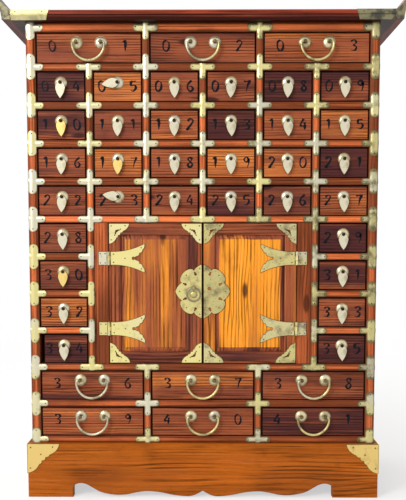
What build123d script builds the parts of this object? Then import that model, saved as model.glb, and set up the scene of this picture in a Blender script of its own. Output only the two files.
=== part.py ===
from build123d import *
import math
import os

# A medicine chest: a grid of drawers round a two-door cupboard, on a footed base, under an upturned top.
# Millimetres. +Z is up, the front faces -Y, and the origin is on the floor under the middle of the chest.

# Grid of the front
COLUMNS = 6
ROWS = 11
WIDE_ROWS = (1, ROWS - 1, ROWS)
CUPBOARD_ROWS = (6, 7, 8, 9)
CELL_WIDTH = 90.5
CELL_HEIGHT = 56.0
STILE_WIDTH = 12.5
RAIL_HEIGHT = 12.5
TOP_RAIL_HEIGHT = 16.0
POST_WIDTH = 17.0
STILE_CROWN = 2.8
RAIL_CROWN = 2.4
POST_CROWN = 3.4

# Case behind the front
CASE_DEPTH = 260.0
RAIL_DEPTH = 20.0
POST_DEPTH = 30.0
SIDE_RAIL_HEIGHT = 32.0
SIDE_PANEL_INSET = 4.0
BACK_PANEL_THICKNESS = 8.0
BACK_PANEL_INSET = 4.0
SHELF_THICKNESS = 6.0
PARTITION_THICKNESS = 9.0

# Base
BASE_HEIGHT = 102.0
BASE_BOARD = 16.0
BASE_SIDE_STEP = 7.0
BASE_FRONT_STEP = 9.0
FOOT_WIDTH = 84.0
SIDE_FOOT_WIDTH = 70.0
SIDE_ARCH_RISE = 26.0
APRON_RISE = 25.0

# Top board and its upturned ends
TOP_THICKNESS = 17.0
TOP_FRONT_STEP = 20.0
TOP_SIDE_STEP = 37.0
TOP_EDGE_SLOPE = 4.0
UPTURN_ROOT = 15.0
UPTURN_RISE = 27.0
UPTURN_LEAN = 13.0
UPTURN_TIP = 7.0

# Drawers
SIDE_GAP = 1.2
TOP_GAP = 1.5
RUN_GAP = 0.3
FACE_SETBACK = 1.0
FRONT_THICKNESS = 12.0
FRONT_EASE = 0.8
BOX_SIDE = 6.0
BOX_BOTTOM = 5.0
BOX_SIDE_DROP = 7.0
BOX_BACK_GAP = 5.0
SHRUNK_DRAWER = "row09_col1"
SHRUNK_GAP = 6.0

# Rosettes under every pull
ROSETTE_RADIUS = 11.2
ROSETTE_RIM = 1.0
ROSETTE_HEIGHT = 4.0
ROSETTE_FLAT = 3.4

# Leaf pendants on the small drawers
PENDANT_RAISE = 6.5
PENDANT_STUD = 2.0
PENDANT_HOLE_GAP = 0.15
PENDANT_STANDOFF = 0.5
PENDANT_THICKNESS = 2.0
PENDANT_HEAD = 3.2
PENDANT_HEAD_THICKNESS = 1.6
PENDANT_CROWN = 5.0
PENDANT_HALF_WIDTH = 9.2
PENDANT_SHOULDER = 10.0
PENDANT_LENGTH = 29.0
SWUNG_PENDANTS = {"row02_col2": 82.0, "row05_col2": 98.0}

# Bails on the wide drawers
BAIL_RAISE = 9.5
BAIL_SPACING = 44.0
BAIL_WIRE = 1.9
BAIL_RADIUS = 29.0
BAIL_BEND = 4.0
BAIL_STUB = 4.6
BAIL_RUN_GAP = 0.06
BAIL_STANDOFF = 8.0
EYE_RADIUS = 3.2
EYE_COVER = 3.4

# Cupboard doors
JAMB_WIDTH = 26.0
DOOR_SIDE_GAP = 1.2
DOOR_END_GAP = 1.5
DOOR_MEETING_GAP = 3.0
DOOR_THICKNESS = 16.0
DOOR_FRAME = 21.0
PANEL_BEVEL = 9.0
PANEL_SINK = 3.6
FIELD_SETBACK = 0.4
PANEL_BACK_SETBACK = 3.0

# Brass sheet and joint plates
SHEET = 1.2
SHEET_BED = 0.1
PLATE_ARM = 23.0
PLATE_INSET = 0.4

# Door hinges
HINGE_INSET = 64.0
HINGE_HEIGHT = 25.0
HINGE_LEAF = 19.0
HINGE_KNUCKLE = 2.6
HINGE_PIN = 1.3
HINGE_RUN_GAP = 0.05
HINGE_END_GAP = 0.3
HINGE_STANDOFF = 0.4
STRAP_LENGTH = 66.0
STRAP_TAIL = 27.0
STRAP_NOTCH = 23.0

# Door corner plates, lock plate and ring
CORNER_LEG = 38.0
LOCK_RAISE = 4.0
LOCK_TIP = 51.0
LOCK_VALLEY = 43.0
LOCK_LOBES = 8
LOCK_HOLE = 2.3
LOCK_HOLE_OFFSET = 12.0
LOCK_HOLE_RAISE = 5.5
RING_RADIUS = 12.4
RING_WIRE = 1.5
RING_DROP = 5.5
RING_SEAM_GAP = 1.2
RING_STANDOFF = 5.5
RING_EYE = 3.0
RING_EYE_GAP = 0.5
BOSS_RADIUS = 7.0
BOSS_RIM = 0.6
BOSS_HEIGHT = 3.0
BOSS_FLAT = 1.5

# Brass on the top's ends and the base's corners
CAP_LENGTH = 84.0
CAP_SLANT = 6.0
BASE_CORNER_WIDTH = 61.0
BASE_CORNER_HEIGHT = 56.0

# Places that follow from the sizes above
CASE_WIDTH = COLUMNS * CELL_WIDTH + (COLUMNS - 1) * STILE_WIDTH + 2 * POST_WIDTH
CASE_HALF = CASE_WIDTH / 2
COLUMN_PITCH = CELL_WIDTH + STILE_WIDTH
ROW_PITCH = CELL_HEIGHT + RAIL_HEIGHT
WIDE_WIDTH = 2 * CELL_WIDTH + STILE_WIDTH
CASE_TOP = BASE_HEIGHT + RAIL_HEIGHT + (ROWS - 1) * ROW_PITCH + CELL_HEIGHT + TOP_RAIL_HEIGHT
TOP_HALF = CASE_HALF + TOP_SIDE_STEP
OVERALL_DEPTH = SHEET + SHEET_BED + TOP_FRONT_STEP + CASE_DEPTH
TOP_FRONT_Y = -OVERALL_DEPTH / 2 + SHEET + SHEET_BED
FRONT_Y = TOP_FRONT_Y + TOP_FRONT_STEP
BACK_Y = FRONT_Y + CASE_DEPTH
BASE_FRONT_Y = FRONT_Y - BASE_FRONT_STEP
BASE_HALF = CASE_HALF + BASE_SIDE_STEP
BACK_PANEL_Y = BACK_Y - BACK_PANEL_INSET - BACK_PANEL_THICKNESS
SHELF_FRONT_Y = FRONT_Y + RAIL_DEPTH
FACE_Y = FRONT_Y + FACE_SETBACK
BOX_BACK_Y = BACK_PANEL_Y - BOX_BACK_GAP
INNER_HALF = CASE_HALF - POST_WIDTH
SHEET_BACK_Y = FRONT_Y - SHEET_BED


def column_left(column):
    """Left edge of a one-column opening, counted from 1."""
    return -INNER_HALF + (column - 1) * COLUMN_PITCH


def stile_x(boundary):
    """Middle of the stile to the right of a column; 0 and COLUMNS are the corner posts."""
    if boundary == 0:
        return -CASE_HALF + POST_WIDTH / 2
    if boundary == COLUMNS:
        return CASE_HALF - POST_WIDTH / 2
    return column_left(boundary) + CELL_WIDTH + STILE_WIDTH / 2


def row_floor(row):
    """Bottom of a row's openings, counted from 1 at the top."""
    return BASE_HEIGHT + RAIL_HEIGHT + (ROWS - row) * ROW_PITCH


def rail_z(level):
    """Middle of the rail under a row; level 0 is the top rail."""
    if level == 0:
        return CASE_TOP - TOP_RAIL_HEIGHT / 2
    return row_floor(level) - RAIL_HEIGHT / 2


def stiles_in(row):
    """Boundaries that have a stile beside the openings of a row."""
    if row in WIDE_ROWS:
        return (2, 4)
    if row in CUPBOARD_ROWS:
        return (1, 5)
    return (1, 2, 3, 4, 5)


CUPBOARD_HALF = CASE_HALF - POST_WIDTH - CELL_WIDTH - STILE_WIDTH
CUPBOARD_FLOOR = row_floor(CUPBOARD_ROWS[-1])
CUPBOARD_CEILING = row_floor(CUPBOARD_ROWS[0]) + CELL_HEIGHT
DOOR_OUTER = CUPBOARD_HALF - JAMB_WIDTH - DOOR_SIDE_GAP
DOOR_INNER = DOOR_MEETING_GAP / 2
DOOR_LOW = CUPBOARD_FLOOR + DOOR_END_GAP
DOOR_HIGH = CUPBOARD_CEILING - DOOR_END_GAP
HINGE_X = DOOR_OUTER + DOOR_SIDE_GAP / 2
HINGE_Y = FRONT_Y - HINGE_KNUCKLE - HINGE_STANDOFF
HINGE_LEVELS = (DOOR_LOW + HINGE_INSET, DOOR_HIGH - HINGE_INSET)
LOCK_Z = (DOOR_LOW + DOOR_HIGH) / 2 + LOCK_RAISE
RING_X = -(DOOR_INNER + RING_SEAM_GAP + RING_WIRE + RING_RADIUS)
RING_EYE_Z = LOCK_Z - RING_DROP + RING_RADIUS
RING_EYE_Y = SHEET_BACK_Y - SHEET - RING_STANDOFF


def block(x, y, z):
    """Board between a low and a high place along each axis."""
    centre = Pos((x[0] + x[1]) / 2, (y[0] + y[1]) / 2, (z[0] + z[1]) / 2)
    return centre * Box(x[1] - x[0], y[1] - y[0], z[1] - z[0])


def sheet_cut(outline, back_y, thickness):
    """Flat outline in X and Z, given thickness towards the front."""
    return extrude(Pos(0, back_y, 0) * (Plane.XZ * outline), amount=thickness, dir=(0, -1, 0))


def polygon(*points):
    """Face with straight sides through the points."""
    return make_face(Polyline(*points, close=True))


def crown_radius(width, crown):
    """Radius of the arc that swells by crown over a width."""
    return (width * width / 4 + crown * crown) / (2 * crown)


def crowned_section(low, high, crown, depth):
    """Section of a stile or rail: square at the back, swelling at the front."""
    sides = Polyline((low, 0), (low, depth), (high, depth), (high, 0))
    return make_face(sides + ThreePointArc((high, 0), ((low + high) / 2, -crown), (low, 0)))


def stile(x, width, z, crown, depth):
    """Upright of the front frame."""
    section = crowned_section(x - width / 2, x + width / 2, crown, depth)
    return extrude(Pos(0, FRONT_Y, z[0]) * section, amount=z[1] - z[0], dir=(0, 0, 1))


def rail(x, z, height):
    """Cross member of the front frame."""
    plane = Plane(origin=(x[1], FRONT_Y, 0), x_dir=(0, 0, 1), z_dir=(-1, 0, 0))
    section = crowned_section(z - height / 2, z + height / 2, RAIL_CROWN, RAIL_DEPTH)
    return extrude(plane * section, amount=x[1] - x[0], dir=(-1, 0, 0))


def front_frame():
    """Posts, rails, stiles and the cupboard's two jambs."""
    pieces = []
    for side in (-1, 1):
        middle = side * (CASE_HALF - POST_WIDTH / 2)
        pieces.append(stile(middle, POST_WIDTH, (BASE_HEIGHT, CASE_TOP), POST_CROWN, POST_DEPTH))
    for level in range(ROWS + 1):
        height = RAIL_HEIGHT if level else TOP_RAIL_HEIGHT
        if level in CUPBOARD_ROWS[:-1]:
            for side in (-1, 1):
                ends = sorted((side * INNER_HALF, side * (CUPBOARD_HALF + STILE_WIDTH)))
                pieces.append(rail(ends, rail_z(level), height))
        else:
            pieces.append(rail((-INNER_HALF, INNER_HALF), rail_z(level), height))
    for row in range(1, ROWS + 1):
        if row in CUPBOARD_ROWS:
            continue
        heights = (row_floor(row), row_floor(row) + CELL_HEIGHT)
        for boundary in stiles_in(row):
            pieces.append(stile(stile_x(boundary), STILE_WIDTH, heights, STILE_CROWN, RAIL_DEPTH))
    for side in (-1, 1):
        heights = (CUPBOARD_FLOOR, CUPBOARD_CEILING)
        middle = side * (CUPBOARD_HALF + STILE_WIDTH / 2)
        pieces.append(stile(middle, STILE_WIDTH, heights, STILE_CROWN, RAIL_DEPTH))
        ends = sorted((side * CUPBOARD_HALF, side * (CUPBOARD_HALF - JAMB_WIDTH)))
        pieces.append(block(ends, (FRONT_Y, SHELF_FRONT_Y), heights))
    return pieces


def case_boards():
    """Back posts, sides, back, shelves and partitions behind the front frame."""
    pieces = []
    boards_y = (SHELF_FRONT_Y, BACK_PANEL_Y)
    for side in (-1, 1):
        outside = sorted((side * CASE_HALF, side * INNER_HALF))
        pieces.append(block(outside, (BACK_Y - POST_DEPTH, BACK_Y), (BASE_HEIGHT, CASE_TOP)))
        span = (FRONT_Y + POST_DEPTH, BACK_Y - POST_DEPTH)
        low = (BASE_HEIGHT, BASE_HEIGHT + SIDE_RAIL_HEIGHT)
        high = (CASE_TOP - SIDE_RAIL_HEIGHT, CASE_TOP)
        pieces.append(block(outside, span, low))
        pieces.append(block(outside, span, high))
        panel = sorted((side * (CASE_HALF - SIDE_PANEL_INSET), side * INNER_HALF))
        pieces.append(block(panel, span, (low[1], high[0])))
    inside = (-INNER_HALF, INNER_HALF)
    back = (BACK_PANEL_Y, BACK_PANEL_Y + BACK_PANEL_THICKNESS)
    pieces.append(block(inside, back, (BASE_HEIGHT, CASE_TOP)))
    wall_half = CUPBOARD_HALF + (STILE_WIDTH + PARTITION_THICKNESS) / 2
    for row in range(1, ROWS + 1):
        heights = (row_floor(row) - SHELF_THICKNESS, row_floor(row))
        if row in CUPBOARD_ROWS[:-1]:
            for side in (-1, 1):
                ends = sorted((side * INNER_HALF, side * wall_half))
                pieces.append(block(ends, boards_y, heights))
        else:
            pieces.append(block(inside, boards_y, heights))
    for row in range(1, ROWS + 1):
        if row in CUPBOARD_ROWS:
            continue
        ceiling = CASE_TOP if row == 1 else row_floor(row - 1) - SHELF_THICKNESS
        for boundary in stiles_in(row):
            half = PARTITION_THICKNESS / 2
            ends = (stile_x(boundary) - half, stile_x(boundary) + half)
            pieces.append(block(ends, boards_y, (row_floor(row), ceiling)))
    ceiling = row_floor(CUPBOARD_ROWS[0] - 1) - SHELF_THICKNESS
    for side in (-1, 1):
        ends = sorted((side * (wall_half - PARTITION_THICKNESS), side * wall_half))
        pieces.append(block(ends, boards_y, (CUPBOARD_FLOOR, ceiling)))
    return pieces


def apron_face():
    """Front of the base: two feet and a scalloped lower edge that meets in a point."""
    foot = BASE_HALF - FOOT_WIDTH
    half_edge = (
        (0, APRON_RISE * 0.5),
        (foot * 0.11, APRON_RISE * 0.1),
        (foot * 0.26, APRON_RISE * 0.24),
        (foot * 0.42, APRON_RISE * 0.46),
        (foot * 0.63, APRON_RISE * 0.18),
        (foot * 0.78, APRON_RISE * 0.36),
        (foot * 0.84, APRON_RISE * 0.66),
        (foot * 0.895, APRON_RISE * 0.96),
        (foot * 0.945, APRON_RISE * 1.06),
        (foot * 0.985, APRON_RISE * 0.94),
        (foot, APRON_RISE * 0.66),
    )
    right = Spline(*half_edge)
    left = mirror(right, about=Plane.YZ)
    rim = Polyline(
        (foot, half_edge[-1][1]),
        (foot, 0),
        (BASE_HALF, 0),
        (BASE_HALF, BASE_HEIGHT),
        (-BASE_HALF, BASE_HEIGHT),
        (-BASE_HALF, 0),
        (-foot, 0),
        (-foot, half_edge[-1][1]),
    )
    return make_face(right + rim + left)


def base_side(x):
    """Side board of the base with a low arch between its feet."""
    low = BASE_FRONT_Y + BASE_BOARD
    middle = (low + BACK_Y) / 2
    half = (BACK_Y - low) / 2 - SIDE_FOOT_WIDTH
    sides = Polyline(
        (middle + half, 0),
        (BACK_Y, 0),
        (BACK_Y, BASE_HEIGHT),
        (low, BASE_HEIGHT),
        (low, 0),
        (middle - half, 0),
    )
    arch = ThreePointArc((middle - half, 0), (middle, SIDE_ARCH_RISE), (middle + half, 0))
    board = Pos(x, 0, 0) * (Plane.YZ * make_face(sides + arch))
    return extrude(board, amount=BASE_BOARD, dir=(1, 0, 0))


def base_plinth():
    """Front apron, two sides and a back board."""
    inner = BASE_HALF - BASE_BOARD
    back = block((-inner, inner), (BACK_Y - BASE_BOARD, BACK_Y), (SIDE_ARCH_RISE, BASE_HEIGHT))
    apron = sheet_cut(apron_face(), BASE_FRONT_Y + BASE_BOARD, BASE_BOARD)
    return [apron, base_side(-BASE_HALF), base_side(inner), back]


def top_section():
    """Section of the top board: upright upper band, lower band sloping back under it."""
    return polygon(
        (TOP_FRONT_Y, TOP_THICKNESS),
        (TOP_FRONT_Y, TOP_THICKNESS / 2),
        (TOP_FRONT_Y + TOP_EDGE_SLOPE, 0),
        (BACK_Y, 0),
        (BACK_Y, TOP_THICKNESS),
    )


def upturn_face():
    """Right end of the top: rises from the board and leans outward to a rounded tip."""
    root = TOP_HALF - UPTURN_ROOT
    tip_x = TOP_HALF + UPTURN_LEAN
    tip_z = TOP_THICKNESS + UPTURN_RISE
    inner_tip = (tip_x - UPTURN_TIP, tip_z - UPTURN_TIP * 0.3)
    outer_tip = (tip_x, tip_z - UPTURN_TIP * 0.7)
    crest = (tip_x - UPTURN_TIP * 0.35, tip_z)
    outer_mid = (TOP_HALF + UPTURN_LEAN * 0.3, tip_z * 0.45)
    inner_mid = (TOP_HALF - UPTURN_ROOT * 0.3, TOP_THICKNESS + UPTURN_RISE * 0.3)
    edges = Polyline((root, TOP_THICKNESS), (root, 0), (TOP_HALF, 0))
    edges += ThreePointArc((TOP_HALF, 0), outer_mid, outer_tip)
    edges += ThreePointArc(outer_tip, crest, inner_tip)
    edges += ThreePointArc(inner_tip, inner_mid, (root, TOP_THICKNESS))
    return make_face(edges)


def top_board():
    """Board with one upturned end at each side."""
    root = TOP_HALF - UPTURN_ROOT
    board = extrude(Pos(-root, 0, CASE_TOP) * (Plane.YZ * top_section()), amount=2 * root, dir=(1, 0, 0))
    right = sheet_cut(Pos(0, CASE_TOP) * upturn_face(), BACK_Y, BACK_Y - TOP_FRONT_Y)
    return [board, right, mirror(right, about=Plane.YZ)]


def plate_outline(arms, width, height):
    """Cross, T or corner outline: one round-ended arm in each direction named."""
    outline = Rectangle(width, height)
    for arm in arms:
        across = height if arm in "EW" else width
        reach = PLATE_ARM - across / 2
        turn = {"E": 0, "N": 90, "W": 180, "S": 270}[arm]
        shape = Pos(reach / 2, 0) * Rectangle(reach, across) + Pos(reach, 0) * Circle(across / 2)
        outline += Rot(0, 0, turn) * shape
    return outline


def crossing(stile_width, stile_crown, rail_height, swell):
    """Two crossing round bars that follow a stile and a rail, grown by swell."""
    upright = crown_radius(stile_width, stile_crown)
    level = crown_radius(rail_height, RAIL_CROWN)
    length = 3 * PLATE_ARM
    bar = Pos(0, upright - stile_crown, 0) * Cylinder(upright + swell, length)
    return bar + Pos(0, level - RAIL_CROWN, 0) * Rot(0, 90, 0) * Cylinder(level + swell, length)


def joint_plate(arms, stile_width, stile_crown, rail_height):
    """Brass plate bent over the crossing of a stile and a rail, about the crossing's middle."""
    bed = crossing(stile_width, stile_crown, rail_height, SHEET_BED)
    skin = crossing(stile_width, stile_crown, rail_height, SHEET_BED + SHEET)
    outline = plate_outline(arms, stile_width - 2 * PLATE_INSET, rail_height - 2 * PLATE_INSET)
    return (sheet_cut(outline, 0, PLATE_ARM) & skin) - bed


def has_stile(boundary, row):
    """Whether an upright stands at a boundary beside a row; posts stand beside every row."""
    if not 1 <= row <= ROWS:
        return False
    return boundary in (0, COLUMNS) or boundary in stiles_in(row)


def has_rail(level, column):
    """Whether a rail runs under a row in a column."""
    if not 1 <= column <= COLUMNS:
        return False
    return level not in CUPBOARD_ROWS[:-1] or column in (1, COLUMNS)


def joint_plates():
    """One plate on every joint of the front frame."""
    patterns = {}
    pieces = []
    for level in range(ROWS + 1):
        height = RAIL_HEIGHT if level else TOP_RAIL_HEIGHT
        for boundary in range(COLUMNS + 1):
            arms = "N" if has_stile(boundary, level) else ""
            arms += "S" if has_stile(boundary, level + 1) else ""
            arms += "W" if has_rail(level, boundary) else ""
            arms += "E" if has_rail(level, boundary + 1) else ""
            if len(arms) < 2 or arms == "WE" or arms == "NS":
                continue
            post = boundary in (0, COLUMNS)
            width, crown = (POST_WIDTH, POST_CROWN) if post else (STILE_WIDTH, STILE_CROWN)
            pattern = (arms, width, crown, height)
            if pattern not in patterns:
                patterns[pattern] = joint_plate(*pattern)
            pieces.append(Pos(stile_x(boundary), FRONT_Y, rail_z(level)) * patterns[pattern])
    return pieces


def top_cap():
    """Sheet over the front of the top's right end, bent along the board's edge and cut at a slant."""
    root = TOP_HALF - UPTURN_ROOT
    front = TOP_FRONT_Y - SHEET_BED
    band = polygon(
        (front, TOP_THICKNESS),
        (front, TOP_THICKNESS / 2),
        (front + TOP_EDGE_SLOPE, 0),
        (front + TOP_EDGE_SLOPE - SHEET, 0),
        (front - SHEET, TOP_THICKNESS / 2),
        (front - SHEET, TOP_THICKNESS),
    )
    inner = TOP_HALF - CAP_LENGTH
    strip = extrude(Pos(inner, 0, CASE_TOP) * (Plane.YZ * band), amount=root - inner, dir=(1, 0, 0))
    outline = polygon(
        (inner, CASE_TOP + TOP_THICKNESS),
        (inner + CAP_SLANT, CASE_TOP),
        (root, CASE_TOP),
        (root, CASE_TOP + TOP_THICKNESS),
    )
    strip &= sheet_cut(outline, FRONT_Y, 2 * TOP_FRONT_STEP)
    return strip + sheet_cut(Pos(0, CASE_TOP) * upturn_face(), front, SHEET)


def arc_chain(spots):
    """Arcs end to end: every second spot is the middle of an arc."""
    edges = Curve()
    for start, middle, end in zip(spots[::2], spots[1::2], spots[2::2]):
        edges += ThreePointArc(start, middle, end)
    return edges


def corner_outline(width, height):
    """Right-angled plate with five scallops along its long side."""
    half = ((1, 0), (0.92, 0.21), (0.70, 0.375), (0.655, 0.44), (0.575, 0.455))
    knots = half + ((0.545, 0.545),) + tuple((v, u) for u, v in half[::-1])
    spots = [(width * u, -height * v) for u, v in knots]
    return make_face(Polyline(spots[-1], (0, 0), spots[0]) + arc_chain(spots))


def base_corner():
    """Brass over the base's left front corner: a shaped plate on the front and one on the side."""
    outline = corner_outline(BASE_CORNER_WIDTH, BASE_CORNER_HEIGHT)
    lift = BASE_HEIGHT
    outside = -BASE_HALF - SHEET_BED - SHEET
    front = sheet_cut(Pos(outside, lift) * outline, BASE_FRONT_Y - SHEET_BED, SHEET)
    corner = (outside, BASE_FRONT_Y - SHEET_BED - SHEET, lift)
    side_plane = Plane(origin=corner, x_dir=(0, 1, 0), z_dir=(1, 0, 0))
    side = extrude(side_plane * outline, amount=SHEET, dir=(1, 0, 0))
    return front + side


def knuckle(low, high, bore):
    """Barrel round a hinge's pin, on the right door's hinge line."""
    barrel = Cylinder(HINGE_KNUCKLE, high - low) - Cylinder(bore, high - low)
    return Pos(HINGE_X, HINGE_Y, (low + high) / 2) * barrel


def hinge_thirds(level):
    """Heights of the lower, middle and upper barrel of a hinge."""
    reach = HINGE_HEIGHT / 2
    inner = HINGE_HEIGHT / 6
    gap = HINGE_END_GAP / 2
    lower = (level - reach, level - inner - gap)
    middle = (level - inner + gap, level + inner - gap)
    upper = (level + inner + gap, level + reach)
    return lower, middle, upper


def jamb_hinge(level):
    """Fixed leaf of a right-hand hinge with its two barrels, and the pin that they hold."""
    lower, _, upper = hinge_thirds(level)
    clear = HINGE_KNUCKLE + HINGE_END_GAP
    plate = (HINGE_X + clear, HINGE_X + HINGE_LEAF)
    leaf = block(plate, (SHEET_BACK_Y - SHEET, SHEET_BACK_Y), (lower[0], upper[1]))
    for heights in (lower, upper):
        leaf += block((HINGE_X, plate[0]), (SHEET_BACK_Y - SHEET, SHEET_BACK_Y), heights)
        leaf += knuckle(*heights, HINGE_PIN)
        middle = (heights[0] + heights[1]) / 2
        leaf -= Pos(HINGE_X, HINGE_Y, middle) * Cylinder(HINGE_PIN, heights[1] - heights[0])
    pin = Pos(HINGE_X, HINGE_Y, level) * Cylinder(HINGE_PIN, HINGE_HEIGHT)
    return [leaf, pin]


def strap_outline():
    """Door leaf of a right-hand hinge, about its pin: flares to a scalloped fishtail with a round eye."""
    start = -(HINGE_KNUCKLE + HINGE_END_GAP)
    half = HINGE_HEIGHT / 2
    tail = -STRAP_LENGTH
    scallops = (
        (0, 1), (-0.02, 0.78), (0.14, 0.575), (0.21, 0.415), (0.39, 0.35), (0.45, 0.2), (0.63, 0.133),
    )
    upper = [(tail + STRAP_NOTCH * u, STRAP_TAIL * v) for u, v in scallops]
    flare = (tail * 0.6, half + (STRAP_TAIL - half) * 0.28)
    throat = (tail + STRAP_NOTCH * 0.79, STRAP_TAIL * 0.048)
    eye = (tail + STRAP_NOTCH, 0)

    def below(spots):
        return [(x, -z) for x, z in reversed(spots)]

    lower = below(upper)
    edges = Line((start, -half), (start, half)) + arc_chain([(start, half), flare] + upper)
    edges += Line(upper[-1], throat) + ThreePointArc(throat, eye, *below([throat]))
    edges += Line(*below([throat]), lower[0])
    edges += arc_chain(lower + below([(start, half), flare]))
    return make_face(edges)


def door_strap(level):
    """Strap leaf with the middle barrel that turns on the pin."""
    leaf = sheet_cut(Pos(HINGE_X, level) * strap_outline(), SHEET_BACK_Y, SHEET)
    middle = hinge_thirds(level)[1]
    reach = (HINGE_X - HINGE_KNUCKLE - HINGE_END_GAP, HINGE_X)
    leaf += block(reach, (SHEET_BACK_Y - SHEET, SHEET_BACK_Y), middle)
    bore = HINGE_PIN + HINGE_RUN_GAP
    leaf += knuckle(*middle, bore)
    return leaf - Pos(HINGE_X, HINGE_Y, level) * Cylinder(bore, HINGE_HEIGHT)


def lock_outline():
    """Round plate with a ring of lobes, pointed and round by turns, that meet in sharp valleys."""
    step = 2 * math.pi / LOCK_LOBES

    def place(radius, turn):
        return (radius * math.sin(turn * step), radius * math.cos(turn * step))

    shoulder = LOCK_VALLEY + (LOCK_TIP - LOCK_VALLEY) * 0.45
    spots = []
    for lobe in range(LOCK_LOBES):
        spots.append(place(LOCK_VALLEY, lobe - 0.5))
        if lobe % 2:
            spots.append(place(LOCK_TIP, lobe))
        else:
            spots += [place(shoulder, lobe - 0.25), place(LOCK_TIP, lobe), place(shoulder, lobe + 0.25)]
    return make_face(arc_chain(spots + spots[:1]))


def right_door_wood():
    """Mitred frame of four members round a fielded panel."""
    x0, x1 = DOOR_INNER, DOOR_OUTER
    z0, z1 = DOOR_LOW, DOOR_HIGH
    frame = DOOR_FRAME
    members = (
        ((x0, z0), (x0 + frame, z0 + frame), (x0 + frame, z1 - frame), (x0, z1)),
        ((x1, z0), (x1 - frame, z0 + frame), (x1 - frame, z1 - frame), (x1, z1)),
        ((x0, z0), (x0 + frame, z0 + frame), (x1 - frame, z0 + frame), (x1, z0)),
        ((x0, z1), (x0 + frame, z1 - frame), (x1 - frame, z1 - frame), (x1, z1)),
    )
    back = FRONT_Y + DOOR_THICKNESS
    pieces = [sheet_cut(polygon(*points), back, DOOR_THICKNESS) for points in members]
    width = x1 - x0 - 2 * frame
    height = z1 - z0 - 2 * frame
    middle = Pos((x0 + x1) / 2, (z0 + z1) / 2)
    sunk_y = FRONT_Y + FIELD_SETBACK + PANEL_SINK
    rim = Pos(0, sunk_y, 0) * (Plane.XZ * (middle * Rectangle(width, height)))
    inner = middle * Rectangle(width - 2 * PANEL_BEVEL, height - 2 * PANEL_BEVEL)
    field = Pos(0, FRONT_Y + FIELD_SETBACK, 0) * (Plane.XZ * inner)
    slab = extrude(rim, amount=back - PANEL_BACK_SETBACK - sunk_y, dir=(0, 1, 0))
    pieces.append(slab + loft([rim, field], ruled=True))
    return pieces


def right_door_brass():
    """Corner plates, strap hinges and half of the lock plate."""
    corner = corner_outline(CORNER_LEG, CORNER_LEG)
    pieces = []
    for x, flip_x in ((DOOR_INNER, False), (DOOR_OUTER, True)):
        for z, flip_z in ((DOOR_HIGH, False), (DOOR_LOW, True)):
            outline = mirror(corner, about=Plane.YZ) if flip_x else corner
            outline = mirror(outline, about=Plane.XZ) if flip_z else outline
            pieces.append(sheet_cut(Pos(x, z) * outline, SHEET_BACK_Y, SHEET))
    for level in HINGE_LEVELS:
        pieces.append(door_strap(level))
    plate = sheet_cut(Pos(0, LOCK_Z) * lock_outline(), SHEET_BACK_Y, SHEET)
    half = block((DOOR_INNER, LOCK_TIP + SHEET), (FRONT_Y - CASE_DEPTH, FRONT_Y), (DOOR_LOW, DOOR_HIGH))
    pieces.append(plate & half)
    return pieces


def lock_hole():
    """Round hole through the right half of the lock plate."""
    place = Pos(LOCK_HOLE_OFFSET, SHEET_BACK_Y, LOCK_Z + LOCK_HOLE_RAISE)
    return place * Rot(90, 0, 0) * Cylinder(LOCK_HOLE, 4 * SHEET)


def ring_mount():
    """Low boss behind the ring, and the eye that the ring hangs in."""
    plate_y = SHEET_BACK_Y - SHEET
    boss = revolve(dome(BOSS_RADIUS, BOSS_RIM, BOSS_HEIGHT, BOSS_FLAT), Axis.Y)
    boss = Pos(RING_X, plate_y, LOCK_Z - RING_DROP) * boss
    length = plate_y - RING_EYE_Y + RING_EYE
    eye = Pos(RING_X, plate_y - length / 2, RING_EYE_Z) * Rot(90, 0, 0) * Cylinder(RING_EYE, length)
    bore = Rot(0, 90, 0) * Cylinder(RING_WIRE + RING_EYE_GAP, 3 * RING_EYE)
    return [boss, eye - Pos(RING_X, RING_EYE_Y, RING_EYE_Z) * bore]


def dome(radius, rim, height, flat):
    """Half section of a domed disc that faces the front, to be turned about Y."""
    edges = Polyline((0, -height), (0, 0), (radius, 0), (radius, -rim))
    swell = ((radius + flat) * 0.56, -rim - (height - rim) * 0.62)
    edges += ThreePointArc((radius, -rim), swell, (flat, -height))
    edges += Line((flat, -height), (0, -height))
    return make_face(edges)


def door_ring():
    """Ring that hangs from its eye on the left door."""
    place = Pos(RING_X, RING_EYE_Y, RING_EYE_Z - RING_RADIUS)
    return [place * Rot(90, 0, 0) * Torus(RING_RADIUS, RING_WIRE)]


def rosette():
    """Domed disc under a pull, with a small flat for the stud or eye."""
    return revolve(dome(ROSETTE_RADIUS, ROSETTE_RIM, ROSETTE_HEIGHT, ROSETTE_FLAT), Axis.Y)


def stud():
    """Headed stud that a pendant hangs on."""
    neck = PENDANT_STANDOFF + PENDANT_THICKNESS + PENDANT_STANDOFF
    shank = Pos(0, -ROSETTE_HEIGHT - neck / 2, 0) * Rot(90, 0, 0) * Cylinder(PENDANT_STUD, neck)
    head_y = -ROSETTE_HEIGHT - neck - PENDANT_HEAD_THICKNESS / 2
    return shank + Pos(0, head_y, 0) * Rot(90, 0, 0) * Cylinder(PENDANT_HEAD, PENDANT_HEAD_THICKNESS)


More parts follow.
